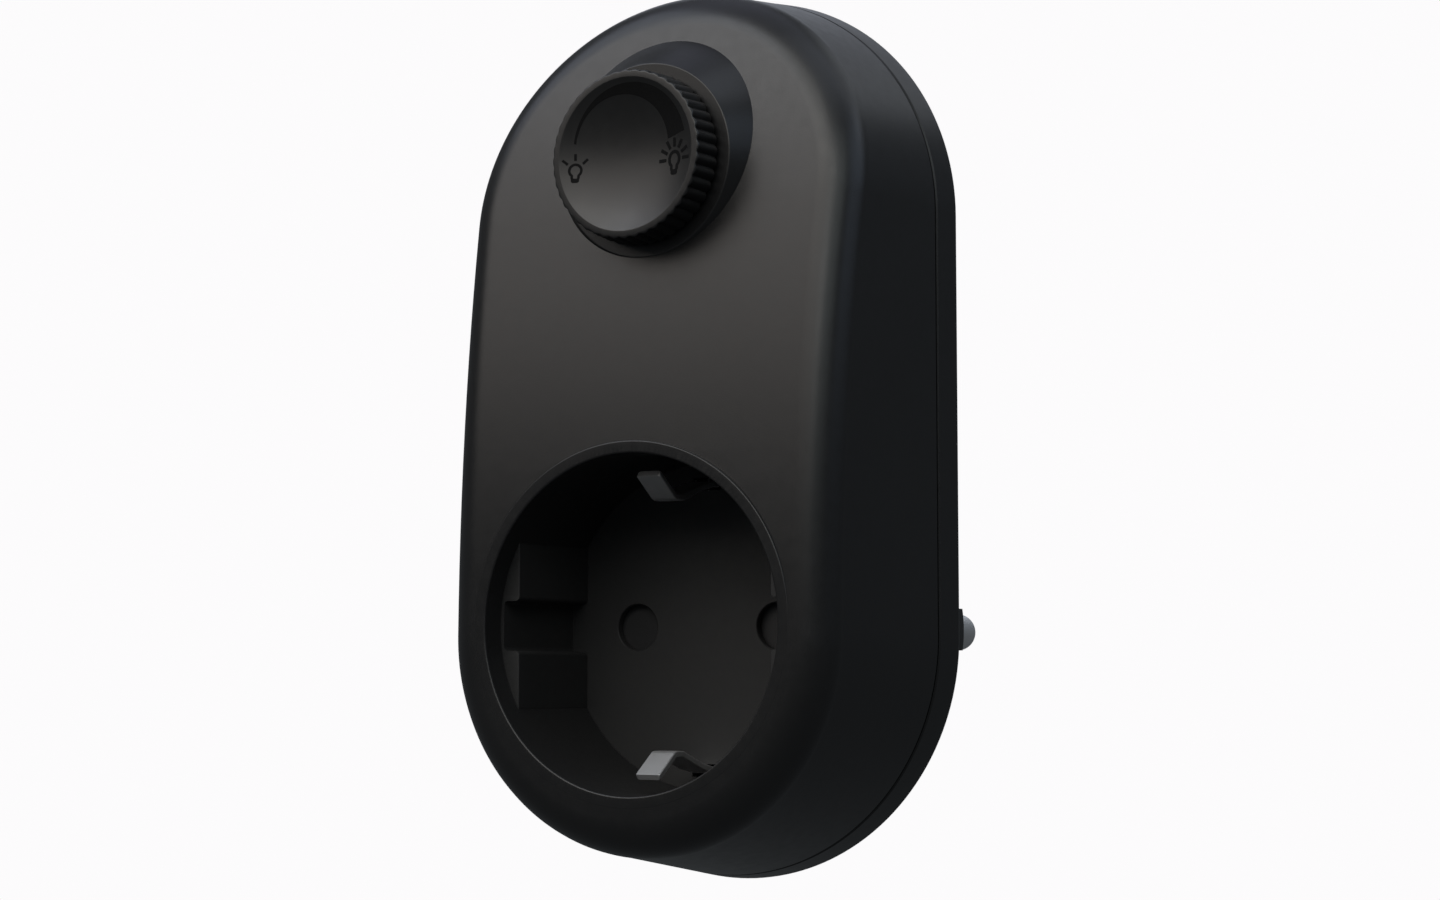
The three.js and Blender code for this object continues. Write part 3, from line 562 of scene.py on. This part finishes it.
def knob_profile():
    """(radius, level, share of the ribs), from the bore round the back and side to the face's middle."""
    back, front = knob_low.z, knob_high.z
    hollow_top = front - DISH_DEPTH - 1
    bore, hub, hollow = SHAFT_RADIUS + GAP, 4.6, 8
    broken = 0.2  # width of the broken edges at the back
    profile = [(bore, shaft_high.z + GAP, 0), (bore, back + broken, 0), (bore + broken, back, 0)]
    profile += [(hub - broken, back, 0), (hub, back + broken, 0), (hub, hollow_top, 0)]
    profile += [(hollow, hollow_top, 0), (hollow, back + broken, 0), (hollow + broken, back, 0)]
    profile.append((KNOB_RADIUS - 0.75, back, 0.4))
    profile += [(KNOB_RADIUS - 0.12, back + 0.06, 0.9), (KNOB_RADIUS, back + 0.3, 1)]
    side_top = front - KNOB_EDGE
    for share in (1 / 3, 2 / 3):
        radius = KNOB_RADIUS + (KNOB_FRONT_RADIUS - KNOB_RADIUS) * share
        profile.append((radius, back + (side_top - back) * share, 1))
    edge = arc((KNOB_FRONT_RADIUS - KNOB_EDGE, side_top), KNOB_EDGE, 0, 90, 6)
    profile += [(radius, level, 1 - 0.8 * (level - side_top) / KNOB_EDGE) for radius, level in edge]
    slope = math.degrees(math.atan(2 * DISH_DEPTH / DISH_RADIUS))
    fillet = arc((DISH_RADIUS + 0.04, front - DISH_FILLET), DISH_FILLET, 90, 90 + slope, 4)
    profile += [(radius, level, 0) for radius, level in fillet]
    for share in (0.98, 0.95, 0.9, 0.84, 0.77, 0.7, 0.6, 0.5, 0.4, 0.3, 0.2, 0.1, 0.05):
        profile.append((share * DISH_RADIUS, dish_level(share * DISH_RADIUS), 0))
    return profile


def knob():
    samples = RIBS * 8
    rings = []
    for radius, level, share in knob_profile():
        ring = []
        for i in range(samples):
            angle = 2 * math.pi * i / samples
            crest = abs(math.cos(RIBS * angle / 2))
            reach = radius - share * RIB_HEIGHT * (1 - crest)
            ring.append((reach * math.cos(angle), KNOB_HEIGHT + reach * math.sin(angle), level))
        rings.append(ring)
    return smooth(loft("knob_cap", rings, ends="fan"), 40)


INK = 0.02  # thickness of the printed marks


def printed(name, strips):
    """Thin ink on the knob's face. Each strip is two edges, equal lists of (x, y) about the knob's axis."""
    points = []
    faces = []
    for left, right in strips:
        first = len(points)
        count = len(left)
        for lift in (-INK, INK):
            for edge in (left, right):
                for x, y in edge:
                    points.append((x, KNOB_HEIGHT + y, dish_level(math.hypot(x, y)) + lift))
        for i in range(count - 1):
            a, b = first + i, first + count + i
            c, d = a + 2 * count, b + 2 * count
            faces += [[a, a + 1, b + 1, b], [c, d, d + 1, c + 1]]
            faces += [[a, c, c + 1, a + 1], [b, b + 1, d + 1, d]]
        for i in (0, count - 1):
            a, b = first + i, first + count + i
            faces.append([a, b, b + 2 * count, a + 2 * count])
    return new_piece(name, points, faces)


def stroke(points, width):
    """The two edges of a line of even width drawn through points."""
    left, right = [], []
    for i, (x, y) in enumerate(points):
        before, after = points[max(i - 1, 0)], points[min(i + 1, len(points) - 1)]
        along = (Vector(after) - Vector(before)).normalized()
        left.append((x - along.y * width / 2, y + along.x * width / 2))
        right.append((x + along.y * width / 2, y - along.x * width / 2))
    return left, right


def brightness_band():
    """The crescent round the upper half of the face, thin at the dim end and broad at the bright one."""
    start, end, steps = 165, 14.5, 60
    edges = []
    for centre, radius in ((Vector((0.31, 0.74)), 7.49), (Vector((-0.84, 0.98)), 6.04)):
        edge = []
        for i in range(steps + 1):
            angle = math.radians(start + (end - start) * i / steps)
            out = Vector((math.cos(angle), math.sin(angle)))
            ahead = centre.dot(out)
            reach = ahead + math.sqrt(radius**2 - centre.length_squared + ahead**2)
            edge.append(tuple(out * reach))
        edges.append(edge)
    outer, inner = edges
    middle = [((a + c) / 2, (b + d) / 2) for (a, b), (c, d) in zip(outer, inner)]
    return printed("brightness_band", [(inner, middle), (middle, outer)])


def lamp_mark(name, x, y, wide, tall, line, ray_length, angles):
    """A plain picture of a lamp: a round bulb, a narrow neck, a solid foot and short rays round it."""

    def placed(points):
        return [(x + wide * px, y + tall * py) for px, py in points]

    neck = [(-0.39, -0.8), (-0.35, -0.98)]
    outline = [(-px, py) for px, py in neck[::-1]] + arc((0, 0), 0.7, -57, 237, 30) + neck
    strips = [stroke(placed(outline), line)]
    foot = [(0.47, -0.93), (0.47, -1.3), (0.3, -1.45)]
    right_edge = placed(foot)
    left_edge = placed([(-px, py) for px, py in foot])
    strips.append((left_edge, right_edge))
    for degrees in angles:
        out = Vector((math.cos(math.radians(degrees)), math.sin(math.radians(degrees))))
        start = Vector((x + 1.14 * wide * out.x, y + 1.14 * tall * out.y))
        strips.append(stroke([tuple(start), tuple(start + out * ray_length)], line))
    return printed(name, strips)


# ---- Metal pieces --------------------------------------------------------------------------------


def plug_pin(name, x):
    """A round plug pin: rounded tip, flange inside the plug's face, stud for the wire."""
    tip = -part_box("live_pin")[1].y / MM
    end_radius, end_length = 0.9, 1.6  # of the flat on the tip, and of the round behind it
    profile = [(0, tip)]
    for i in range(1, 11):
        turn = i / 10 * RIGHT_ANGLE
        radius = end_radius + (PIN_RADIUS - end_radius) * math.sin(turn)
        profile.append((radius, tip + end_length * (1 - math.cos(turn))))
    flange_radius = 3.6
    flange_back = PLUG_FACE + GAP
    flange_front = flange_back + 1.2
    profile += [(PIN_RADIUS, flange_back), (flange_radius, flange_back)]
    profile += [(flange_radius, flange_front), (PIN_RADIUS, flange_front)]
    chamfer = 0.3
    profile += [(PIN_RADIUS, pin_high.z - chamfer), (PIN_RADIUS - chamfer, pin_high.z), (0, pin_high.z)]
    return smooth(turned(name, profile, x, sides=64), 35)


def filleted(corners):
    """A path of (a, b, radius) corners with each bend rounded, as close points."""
    path = [Vector(corners[0][:2])]
    for before, here, after in zip(corners, corners[1:], corners[2:]):
        corner = Vector(here[:2])
        into = (corner - Vector(before[:2])).normalized()
        out = (Vector(after[:2]) - corner).normalized()
        turn = into.angle(out)
        reach = here[2] * math.tan(turn / 2)
        start, end = corner - into * reach, corner + out * reach
        steps = max(2, math.ceil(math.degrees(turn) / 7))
        for i in range(steps + 1):
            t = i / steps
            path.append(start * (1 - t) ** 2 + corner * 2 * t * (1 - t) + end * t**2)
    path.append(Vector(corners[-1][:2]))
    return path


def earth_strip(name, side):
    """A bent spring strip: the socket's clip at its front end, the plug's side contact at its back end."""
    level = REAR_LEVEL
    corners = [
        (level + 22.2, 17.2, 0),
        (level + 18.6, 14.7, 1.1),
        (level + 17, 14.7, 1.1),
        (level + 12.6, 16.2, 3),
        (level + 9.5, 16.8, 3),
        (level - 4, 17.2, 4),
        (level - 9, 17.9, 4),
        (level - 15, 17.9, 4),
        (level - 20, 17, 0),
    ]
    path = filleted(corners)
    half_width, half_thickness, edge, corner = strip_high.x, 0.35, 0.1, 0.3
    travelled = 0
    rings = []
    for i, point in enumerate(path):
        before, after = path[max(i - 1, 0)], path[min(i + 1, len(path) - 1)]
        along = (after - before).normalized()
        across = Vector((-along.y, along.x))
        travelled += (point - path[max(i - 1, 0)]).length
        positions = [point] if i else [point + along * corner * t for t in (0, 0.1, 0.3, 0.6, 1)]
        for position in positions:
            inset = max(0, corner - (position - path[0]).length)
            half = half_width - corner + math.sqrt(max(0, corner**2 - inset**2))
            section = []
            for sx, sy in ((1, -1), (1, 1), (-1, 1), (-1, -1)):
                for shift in ((edge, 0), (0, edge)) if sx * sy < 0 else ((0, edge), (edge, 0)):
                    section.append((sx * (half - shift[0]), sy * (half_thickness - shift[1])))
            ring = []
            for width, height in section:
                spot = position + across * height
                ring.append((width, side * spot.y, spot.x))
            rings.append(ring)
    return smooth(loft(name, rings, ends="plain"), 35)


def cross_screw(name, x, y, head_back, head_height, head_radius, length):
    """A pan-head screw with a tapering cross recess and a cut thread."""
    head_front = head_back + head_height
    tip = head_front + length
    profile = [(0, head_back), (head_radius * 0.72, head_back)]
    profile += [(head_radius * 0.92, head_back + 0.14 * head_radius)]
    profile += [(head_radius, head_back + 0.5 * head_height), (head_radius, head_front)]
    profile += [(SCREW_RADIUS, head_front)]
    root, pitch = 0.95, 0.9  # radius between the thread's turns, and their spacing
    start = head_front + 0.6
    for i in range(int((length - 1.5) / pitch)):
        base = start + i * pitch
        profile += [(root, base), (root, base + 0.35)]
        profile += [(SCREW_RADIUS, base + 0.6), (SCREW_RADIUS, base + 0.68)]
    profile += [(0.9, tip - 0.6), (0.3, tip), (0, tip)]
    screw = turned(name, profile, x, y, 48)
    for turned_by in (0, 1):
        wide, narrow = 1.25 * head_radius / 2.2, 0.28
        rings = []
        for level, share in ((head_back - 0.2, 1.12), (head_back + 1.0, 0.45)):
            a, b = wide * share, narrow * (0.5 + 0.5 * share)
            corners = [(-a, -b), (a, -b), (a, b), (-a, b)]
            if turned_by:
                corners = [(-v, u) for u, v in corners]
            rings.append([(x + u, y + v, level) for u, v in corners])
        cut(screw, loft("cross", rings, ends="plain"))
    return smooth(screw, 30)


def coil_spring():
    """The shutter's return spring, with its end turns closed up."""
    wire = 0.25
    turns, steps = 6.5, 24
    radius = spring_high.x - wire
    bottom, top = spring_low.y + wire, spring_high.y - wire
    level = (spring_low.z + spring_high.z) / 2
    count = int(turns * steps)
    rings = []
    for i in range(count + 1):
        share = i / count
        angle = 2 * math.pi * turns * share
        eased = share * share * (3 - 2 * share)
        height = bottom + (top - bottom) * (eased * 0.35 + share * 0.65)
        out = Vector((math.cos(angle), 0, math.sin(angle)))
        centre = Vector((0, height, level)) + out * radius
        ring = []
        for k in range(8):
            turn = 2 * math.pi * k / 8
            upwards = Vector((0, 1, 0)) * wire * math.sin(turn)
            ring.append(tuple(centre + out * wire * math.cos(turn) + upwards))
        rings.append(ring)
    return smooth(loft("return_spring", rings, ends="plain"), 50)


# ---- Materials -----------------------------------------------------------------------------------


class Look:
    """A material with a Principled shader, fed by procedural textures in the piece's own coordinates."""

    def __init__(self, name, roughness=0.5, metallic=0.0, specular=0.5):
        self.material = bpy.data.materials.new(name)
        self.material.use_nodes = True
        self.tree = self.material.node_tree
        self.shader = self.tree.nodes["Principled BSDF"]
        self.shader.inputs["Roughness"].default_value = roughness
        self.shader.inputs["Metallic"].default_value = metallic
        self.shader.inputs["Specular IOR Level"].default_value = specular
        self.place = self.tree.nodes.new("ShaderNodeTexCoord").outputs["Object"]

    def link(self, output, target):
        self.tree.links.new(output, target)

    def noise(self, size, detail=2.0, stretch=(1, 1, 1)):
        """Noise whose blotches are about this many millimetres across."""
        mapping = self.tree.nodes.new("ShaderNodeMapping")
        mapping.inputs["Scale"].default_value = stretch
        self.link(self.place, mapping.inputs["Vector"])
        texture = self.tree.nodes.new("ShaderNodeTexNoise")
        texture.inputs["Scale"].default_value = 1 / (size * MM)
        texture.inputs["Detail"].default_value = detail
        self.link(mapping.outputs["Vector"], texture.inputs["Vector"])
        return texture.outputs["Fac"]

    def ramp(self, source, low, high, start=0.3, end=0.7):
        """Colours or greys that run from low to high as the source runs from start to end."""
        node = self.tree.nodes.new("ShaderNodeValToRGB")
        for element, position, value in zip(node.color_ramp.elements, (start, end), (low, high)):
            element.position = position
            element.color = value if isinstance(value, tuple) else (value, value, value, 1)
        self.link(source, node.inputs["Fac"])
        return node.outputs["Color"]

    def inside(self, radius):
        """1 within this many millimetres of the frame's Y axis and 0 further out, with a soft edge."""
        mapping = self.tree.nodes.new("ShaderNodeMapping")
        mapping.inputs["Scale"].default_value = (1 / (2 * radius * MM), 0, 1 / (2 * radius * MM))
        self.link(self.place, mapping.inputs["Vector"])
        ball = self.tree.nodes.new("ShaderNodeTexGradient")
        ball.gradient_type = "SPHERICAL"
        self.link(mapping.outputs["Vector"], ball.inputs["Vector"])
        return self.ramp(ball.outputs["Fac"], 0.0, 1.0, 0.499, 0.501)

    def blend(self, share, first, second):
        """The first source where the share is 0, and the second where it is 1."""
        node = self.tree.nodes.new("ShaderNodeMixRGB")
        self.link(share, node.inputs["Fac"])
        self.link(first, node.inputs["Color1"])
        self.link(second, node.inputs["Color2"])
        return node.outputs["Color"]

    def bump(self, source, height, previous=None):
        """Relief of this many millimetres."""
        node = self.tree.nodes.new("ShaderNodeBump")
        node.inputs["Distance"].default_value = height * MM
        self.link(source, node.inputs["Height"])
        if previous is not None:
            self.link(previous, node.inputs["Normal"])
        return node.outputs["Normal"]

    def finish(self, colour, roughness=None, normal=None):
        self.link(colour, self.shader.inputs["Base Color"])
        if roughness is not None:
            self.link(roughness, self.shader.inputs["Roughness"])
        if normal is not None:
            self.link(normal, self.shader.inputs["Normal"])
        return self.material


def rgb(red, green, blue):
    return (red, green, blue, 1)


def moulded_plastic(name, dark, light, gloss, grain=0.16, relief=0.006, recess=None):
    """Spark-eroded moulded plastic: a fine even grain, and faint flow marks in colour and gloss.

    A recess gives the radius round the socket's axis inside which the plastic is eroded more coarsely, the
    roughness there, and a lighter dark and light colour there, which is painted light on the recess's floor and
    walls.
    """
    look = Look(name)
    flow = look.noise(14, 3)
    colour = look.ramp(flow, dark, light)
    fine = look.noise(grain, 3)
    blotches = look.noise(1.3, 2)
    roughness = look.ramp(blotches, gloss - 0.02, gloss + 0.02)
    if recess:
        radius, coarse, painted_light_low, painted_light_high = recess
        inside = look.inside(radius)
        roughness = look.blend(inside, roughness, look.ramp(blotches, coarse - 0.03, coarse + 0.03))
        # Painted light: inside the recess the colour is lighter than on the rest of the case, standing in for
        # light on its floor and walls.
        colour = look.blend(inside, colour, look.ramp(flow, painted_light_low, painted_light_high))
    broad = look.bump(blotches, relief)
    return look.finish(colour, roughness, look.bump(fine, relief, broad))


def sheet_metal(name, dark, light, gloss, stretch=(1, 14, 1)):
    """Rolled or plated metal with fine marks along its length."""
    look = Look(name, metallic=1.0)
    colour = look.ramp(look.noise(6, 2), dark, light)
    marks = look.noise(0.25, 3, stretch)
    roughness = look.ramp(marks, gloss - 0.04, gloss + 0.05)
    return look.finish(colour, roughness, look.bump(marks, 0.0012))


def plain_body(name, dark, light, gloss, grain=0.3, relief=0.008):
    """A dipped, sintered or painted body: slightly uneven colour, gloss and surface."""
    look = Look(name)
    colour = look.ramp(look.noise(2.2, 4), dark, light)
    uneven = look.noise(grain, 3)
    roughness = look.ramp(uneven, gloss - 0.06, gloss + 0.08)
    return look.finish(colour, roughness, look.bump(uneven, relief))


def board_laminate(name):
    """Green solder resist over a woven glass board."""
    look = Look(name)
    weave = look.tree.nodes.new("ShaderNodeTexWave")
    weave.inputs["Scale"].default_value = 900
    weave.inputs["Distortion"].default_value = 1.5
    look.link(look.place, weave.inputs["Vector"])
    colour = look.ramp(look.noise(5, 3), rgb(0.012, 0.06, 0.024), rgb(0.02, 0.09, 0.034))
    roughness = look.ramp(look.noise(1, 2), 0.3, 0.42)
    return look.finish(colour, roughness, look.bump(weave.outputs["Fac"], 0.005))


# Inside the recess the plastic is rougher, and its colour is about twice as light as the face's. The lighter
# colour is painted light on the recess's floor and walls.
RECESS_ROUGHNESS_AND_PAINTED_LIGHT = (RECESS_RADIUS, 0.6, rgb(0.0150, 0.0150, 0.0152), rgb(0.0172, 0.0172, 0.0174))

looks = {
    "case_plastic": moulded_plastic(
        "case_plastic", rgb(0.0062, 0.0061, 0.0064), rgb(0.0078, 0.0077, 0.0079), 0.34, recess=RECESS_ROUGHNESS_AND_PAINTED_LIGHT
    ),
    "knob_plastic": moulded_plastic(
        "knob_plastic", rgb(0.0066, 0.0065, 0.0066), rgb(0.0082, 0.0081, 0.0082), 0.33, relief=0.0015
    ),
    "inner_plastic": moulded_plastic(
        "inner_plastic", rgb(0.014, 0.014, 0.015), rgb(0.02, 0.02, 0.021), 0.55
    ),
    "insulator": moulded_plastic("insulator", rgb(0.6, 0.58, 0.52), rgb(0.7, 0.68, 0.62), 0.5),
    "contact_metal": sheet_metal(
        "contact_metal", rgb(0.68, 0.68, 0.68), rgb(0.78, 0.78, 0.78), 0.5
    ),
    "spring_steel": sheet_metal(
        "spring_steel", rgb(0.36, 0.37, 0.39), rgb(0.5, 0.51, 0.53), 0.28, (1, 1, 1)
    ),
    "contact_brass": sheet_metal(
        "contact_brass", rgb(0.55, 0.38, 0.14), rgb(0.68, 0.49, 0.2), 0.3
    ),
    "copper_wire": sheet_metal(
        "copper_wire", rgb(0.52, 0.2, 0.09), rgb(0.66, 0.27, 0.12), 0.26, (1, 1, 1)
    ),
    "ferrite": plain_body("ferrite", rgb(0.16, 0.15, 0.05), rgb(0.22, 0.2, 0.07), 0.6),
    "board": board_laminate("board"),
    "capacitor_case": plain_body("capacitor_case", rgb(0.48, 0.36, 0.02), rgb(0.58, 0.44, 0.04), 0.35),
    "can_sleeve": plain_body("can_sleeve", rgb(0.012, 0.025, 0.09), rgb(0.02, 0.035, 0.12), 0.28),
    "sink_metal": sheet_metal("sink_metal", rgb(0.6, 0.61, 0.62), rgb(0.74, 0.75, 0.76), 0.38),
    "component_black": plain_body("component_black", rgb(0.011, 0.011, 0.012), rgb(0.018, 0.018, 0.019), 0.5),
    "varistor_coat": plain_body("varistor_coat", rgb(0.01, 0.06, 0.26), rgb(0.015, 0.085, 0.33), 0.35),
    "fuse_case": plain_body("fuse_case", rgb(0.035, 0.012, 0.008), rgb(0.055, 0.018, 0.012), 0.4),
    "resistor_coat": plain_body("resistor_coat", rgb(0.46, 0.36, 0.2), rgb(0.56, 0.45, 0.27), 0.4),
    "pot_laminate": plain_body("pot_laminate", rgb(0.11, 0.05, 0.02), rgb(0.17, 0.08, 0.03), 0.6),
    "wire_blue": plain_body("wire_blue", rgb(0.02, 0.09, 0.4), rgb(0.03, 0.12, 0.48), 0.42),
    "wire_brown": plain_body("wire_brown", rgb(0.11, 0.04, 0.016), rgb(0.15, 0.055, 0.022), 0.42),
    "wire_black": plain_body("wire_black", rgb(0.008, 0.008, 0.009), rgb(0.014, 0.014, 0.015), 0.42),
}


def printed_ink():
    """Matt ink, darker than the plastic under it."""
    look = Look("ink", specular=0.12)
    uneven = look.noise(0.3, 3)
    colour = look.ramp(uneven, rgb(0.0026, 0.0026, 0.0028), rgb(0.0042, 0.0042, 0.0044))
    roughness = look.ramp(uneven, 0.68, 0.8)
    return look.finish(colour, roughness, look.bump(uneven, 0.002))


ink = printed_ink()


def dress(piece, slot, body="housing", stands_for=(), material=None):
    """Gives a piece its finish and the body it rides on."""
    piece.data.materials.clear()
    piece.data.materials.append(material or looks[slot])
    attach(piece, body)
    if stands_for:
        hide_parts(*stands_for)
    return piece


# ---- The outside and what shows through it -------------------------------------------------------

dress(front_shell(), "case_plastic", stands_for=["front_shell"])
dress(rear_cover(), "case_plastic", stands_for=["rear_cover"])
dress(knob(), "knob_plastic", "knob_and_shaft", ["knob"])

dress(brightness_band(), "knob_plastic", "knob_and_shaft", material=ink)
dim_lamp = lamp_mark("dim_lamp_mark", -6.93, -1.2, 1, 1, 0.3, 0.8, (140, 90, 41))
bright_lamp = lamp_mark("bright_lamp_mark", 6.16, -1.12, 1.06, 1.24, 0.4, 1.05, range(180, -1, -30))
dress(dim_lamp, "knob_plastic", "knob_and_shaft", material=ink)
dress(bright_lamp, "knob_plastic", "knob_and_shaft", material=ink)

dress(plug_pin("live_pin_turned", PIN_X), "contact_metal", stands_for=["live_pin"])
dress(plug_pin("neutral_pin_turned", -PIN_X), "contact_metal", stands_for=["neutral_pin"])
dress(earth_strip("earth_clip_upper", 1), "contact_metal", stands_for=["earth_strip_upper"])
dress(earth_strip("earth_clip_lower", -1), "contact_metal", stands_for=["earth_strip_lower"])

for number, (screw_x, screw_y) in enumerate(CASE_SCREWS, 1):
    low, high = node_box(f"case_screw_{number}")
    screw = cross_screw(
        f"case_screw_cut_{number}", screw_x, screw_y, low.z, COUNTERBORE - 2 * GAP, SCREW_HEAD, 12
    )
    dress(screw, "spring_steel", stands_for=[f"case_screw_{number}"])
for number, (screw_x, screw_y) in enumerate(BOARD_SCREWS, 1):
    low, high = node_box(f"board_screw_{number}")
    screw = cross_screw(f"board_screw_cut_{number}", screw_x, screw_y, low.z, 1.2, SCREW_HEAD, 8)
    dress(screw, "spring_steel", stands_for=[f"board_screw_{number}"])

spring = dress(coil_spring(), "spring_steel", stands_for=["shutter_spring"])
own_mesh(spring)

# ---- Inner pieces, carried over from the CAD with their edges broken -----------------------------

kept = {
    "shutter": ("inner_plastic", "shutter_slider", 0.15),
    "shutter_retainer": ("inner_plastic", "housing", 0.12),
    "live_contact": ("contact_brass", "housing", 0.08),
    "neutral_contact": ("contact_brass", "housing", 0.08),
    "contact_carrier": ("insulator", "housing", 0.2),
    "earth_link": ("contact_metal", "housing", 0.08),
    "pot_housing": ("sink_metal", "housing", 0.2),
    "pot_base": ("pot_laminate", "housing", 0.08),
    "pot_shaft": ("insulator", "knob_and_shaft", 0.15),
    "circuit_board": ("board", "housing", 0.08),
    "choke_core": ("ferrite", "housing", 0.3),
    "choke_winding": ("copper_wire", "housing", 0.2),
    "film_capacitor": ("capacitor_case", "housing", 0.4),
    "electrolytic_capacitor": ("can_sleeve", "housing", 0.2),
    "heat_sink": ("sink_metal", "housing", 0.1),
    "triac": ("component_black", "housing", 0.15),
    "varistor": ("varistor_coat", "housing", 0.7),
    "fuse": ("fuse_case", "housing", 0.4),
    "control_chip": ("component_black", "housing", 0.06),
    "resistor_1": ("resistor_coat", "housing", 0.1),
    "resistor_2": ("resistor_coat", "housing", 0.1),
    "neutral_wire": ("wire_blue", "housing", 0),
    "live_wire_in": ("wire_brown", "housing", 0),
    "live_wire_out": ("wire_black", "housing", 0),
}
for node, (slot, body, edge) in kept.items():
    piece = frame["nodes"][node]
    dress(piece, slot, body)
    welded = piece.modifiers.new("weld", "WELD")
    welded.merge_threshold = 0.001 * MM
    if edge:
        bevel = piece.modifiers.new("broken_edges", "BEVEL")
        bevel.width = edge * MM
        bevel.segments = 2
        bevel.limit_method = "ANGLE"
        bevel.angle_limit = math.radians(40)
    mesh = piece.data
    mesh.polygons.foreach_set("use_smooth", [True] * len(mesh.polygons))
    mesh.set_sharp_from_angle(angle=math.radians(40))

# ---- Floor, light and camera ---------------------------------------------------------------------


def pale_floor():
    """A round studio floor well below the part, with a rolled edge."""
    radius, thickness, drop = 520, 12, 62
    top = cad_low.z / MM - drop
    profile = [(0, top - thickness), (radius - 6, top - thickness)]
    profile += arc((radius - 6, top - 6), 6, -90, 90, 8)
    profile += [(radius * 0.5, top), (0, top)]
    points, faces, sides = [], [], 96
    for r, height in profile[1:-1]:
        for i in range(sides):
            angle = 2 * math.pi * i / sides
            points.append((r * math.cos(angle), height, r * math.sin(angle)))
    for ring in range(len(profile) - 3):
        for i in range(sides):
            beside = (i + 1) % sides
            here, there = ring * sides, (ring + 1) * sides
            faces.append([here + i, here + beside, there + beside, there + i])
    for first in (0, (len(profile) - 3) * sides):
        faces.append([first + i for i in range(sides)])
    floor = smooth(new_piece("studio_floor", points, faces))
    look = Look("studio_floor", roughness=0.85, specular=0.2)
    paper = look.noise(2, 4)
    colour = look.ramp(look.noise(60, 2), 0.78, 0.82)
    floor.data.materials.append(look.finish(colour, normal=look.bump(paper, 0.02)))
    # The floor sends no light back to the part, so that hardly any comes from below.
    floor.visible_glossy = False
    floor.visible_diffuse = False
    floor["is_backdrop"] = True


AMBIENT_LIGHT = rgb(0.87, 0.94, 1.0)
AMBIENT_STRENGTH = 0.097
BACKDROP = rgb(0.974, 0.966, 0.974)
SOFTBOX_DISTANCE = 0.8  # metres from the middle of the part
SOFTBOX_WIDTH = 0.6
SOFTBOX_HEIGHT = 0.42
SOFTBOXES = {  # azimuth, elevation, power and tint
    "key": (-35, 30, 1.10, (1.0, 0.93, 0.87)),
    "key_above": (-15, 50, 1.45, (0.99, 1.0, 0.98)),
    "left_fill": (-60, 50, 0.95, (0.77, 0.84, 1.0)),
    "front_fill": (10, 30, 1.34, (1.0, 0.95, 0.90)),
    "front_right_fill": (40, 30, 0.86, (0.90, 0.99, 1.0)),
    "right_fill": (100, 30, 0.60, (0.66, 0.79, 1.0)),
    "top_right": (70, 72, 0.64, (0.80, 0.87, 1.0)),
    "top_left": (-120, 72, 0.26, (0.73, 0.77, 1.0)),
    "rear_right": (140, 50, 0.50, (0.87, 0.92, 1.0)),
    "rear_left": (-160, 30, 0.41, (0.82, 0.87, 1.0)),
}


def studio_world():
    """Near-white behind the part, and a dim even light all round it."""
    world = bpy.data.worlds.new("studio")
    bpy.context.scene.world = world
    world.use_nodes = True
    tree = world.node_tree
    tree.nodes.clear()
    link = tree.links.new
    studio = tree.nodes.new("ShaderNodeBackground")
    studio.inputs["Color"].default_value = AMBIENT_LIGHT
    studio.inputs["Strength"].default_value = AMBIENT_STRENGTH
    backdrop = tree.nodes.new("ShaderNodeBackground")
    backdrop.inputs["Color"].default_value = BACKDROP
    seen = tree.nodes.new("ShaderNodeLightPath")
    mix = tree.nodes.new("ShaderNodeMixShader")
    link(seen.outputs["Is Camera Ray"], mix.inputs["Fac"])
    link(studio.outputs["Background"], mix.inputs[1])
    link(backdrop.outputs["Background"], mix.inputs[2])
    output = tree.nodes.new("ShaderNodeOutputWorld")
    link(mix.outputs["Shader"], output.inputs["Surface"])


def direction(azimuth, elevation):
    """The direction from the part to a place round it. Azimuth 0 is in front, and 90 to the right."""
    turn, rise = math.radians(azimuth), math.radians(elevation)
    return Vector((math.sin(turn) * math.cos(rise), -math.cos(turn) * math.cos(rise), math.sin(rise)))


def aimed(name, data, target, azimuth, elevation, distance):
    """A light or camera that looks at a target."""
    away = direction(azimuth, elevation)
    seat = bpy.data.objects.new(name, data)
    seat.location = target + away * distance
    seat.rotation_mode = "QUATERNION"
    seat.rotation_quaternion = away.to_track_quat("Z", "Y")
    bpy.context.scene.collection.objects.link(seat)
    return seat


def softbox(name, target, azimuth, elevation, power, tint):
    data = bpy.data.lights.new(name, "AREA")
    data.shape = "RECTANGLE"
    data.size = SOFTBOX_WIDTH
    data.size_y = SOFTBOX_HEIGHT
    data.energy = power
    data.color = tint
    aimed(name, data, target, azimuth, elevation, SOFTBOX_DISTANCE)


CAMERA_AZIMUTH = 29.68
CAMERA_ELEVATION = -5.05
CAMERA_DISTANCE = 308.9
AIM_BEHIND_FRONT = 22.55  # along the depth, from the knob's face
AIM_BELOW_MIDDLE = 2.1
AIM_LEFT_OF_MIDDLE = 0.33
LENS = 64.4


def camera(middle):
    """The camera at the catalogue view: from the right, slightly below, looking a little up."""
    aim = Vector((
        middle.x - AIM_LEFT_OF_MIDDLE * MM,
        cad_low.y + AIM_BEHIND_FRONT * MM,
        middle.z - AIM_BELOW_MIDDLE * MM,
    ))
    data = bpy.data.cameras.new("camera")
    data.lens = LENS
    data.clip_start = 0.01
    data.clip_end = 20
    seat = aimed("camera", data, aim, CAMERA_AZIMUTH, CAMERA_ELEVATION, CAMERA_DISTANCE * MM)
    bpy.context.scene.camera = seat


part_middle = (cad_low + cad_high) / 2
pale_floor()
studio_world()
for name, place in SOFTBOXES.items():
    softbox(name, part_middle, *place)
camera(part_middle)
bpy.context.scene.view_settings.view_transform = "Standard"

low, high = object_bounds()
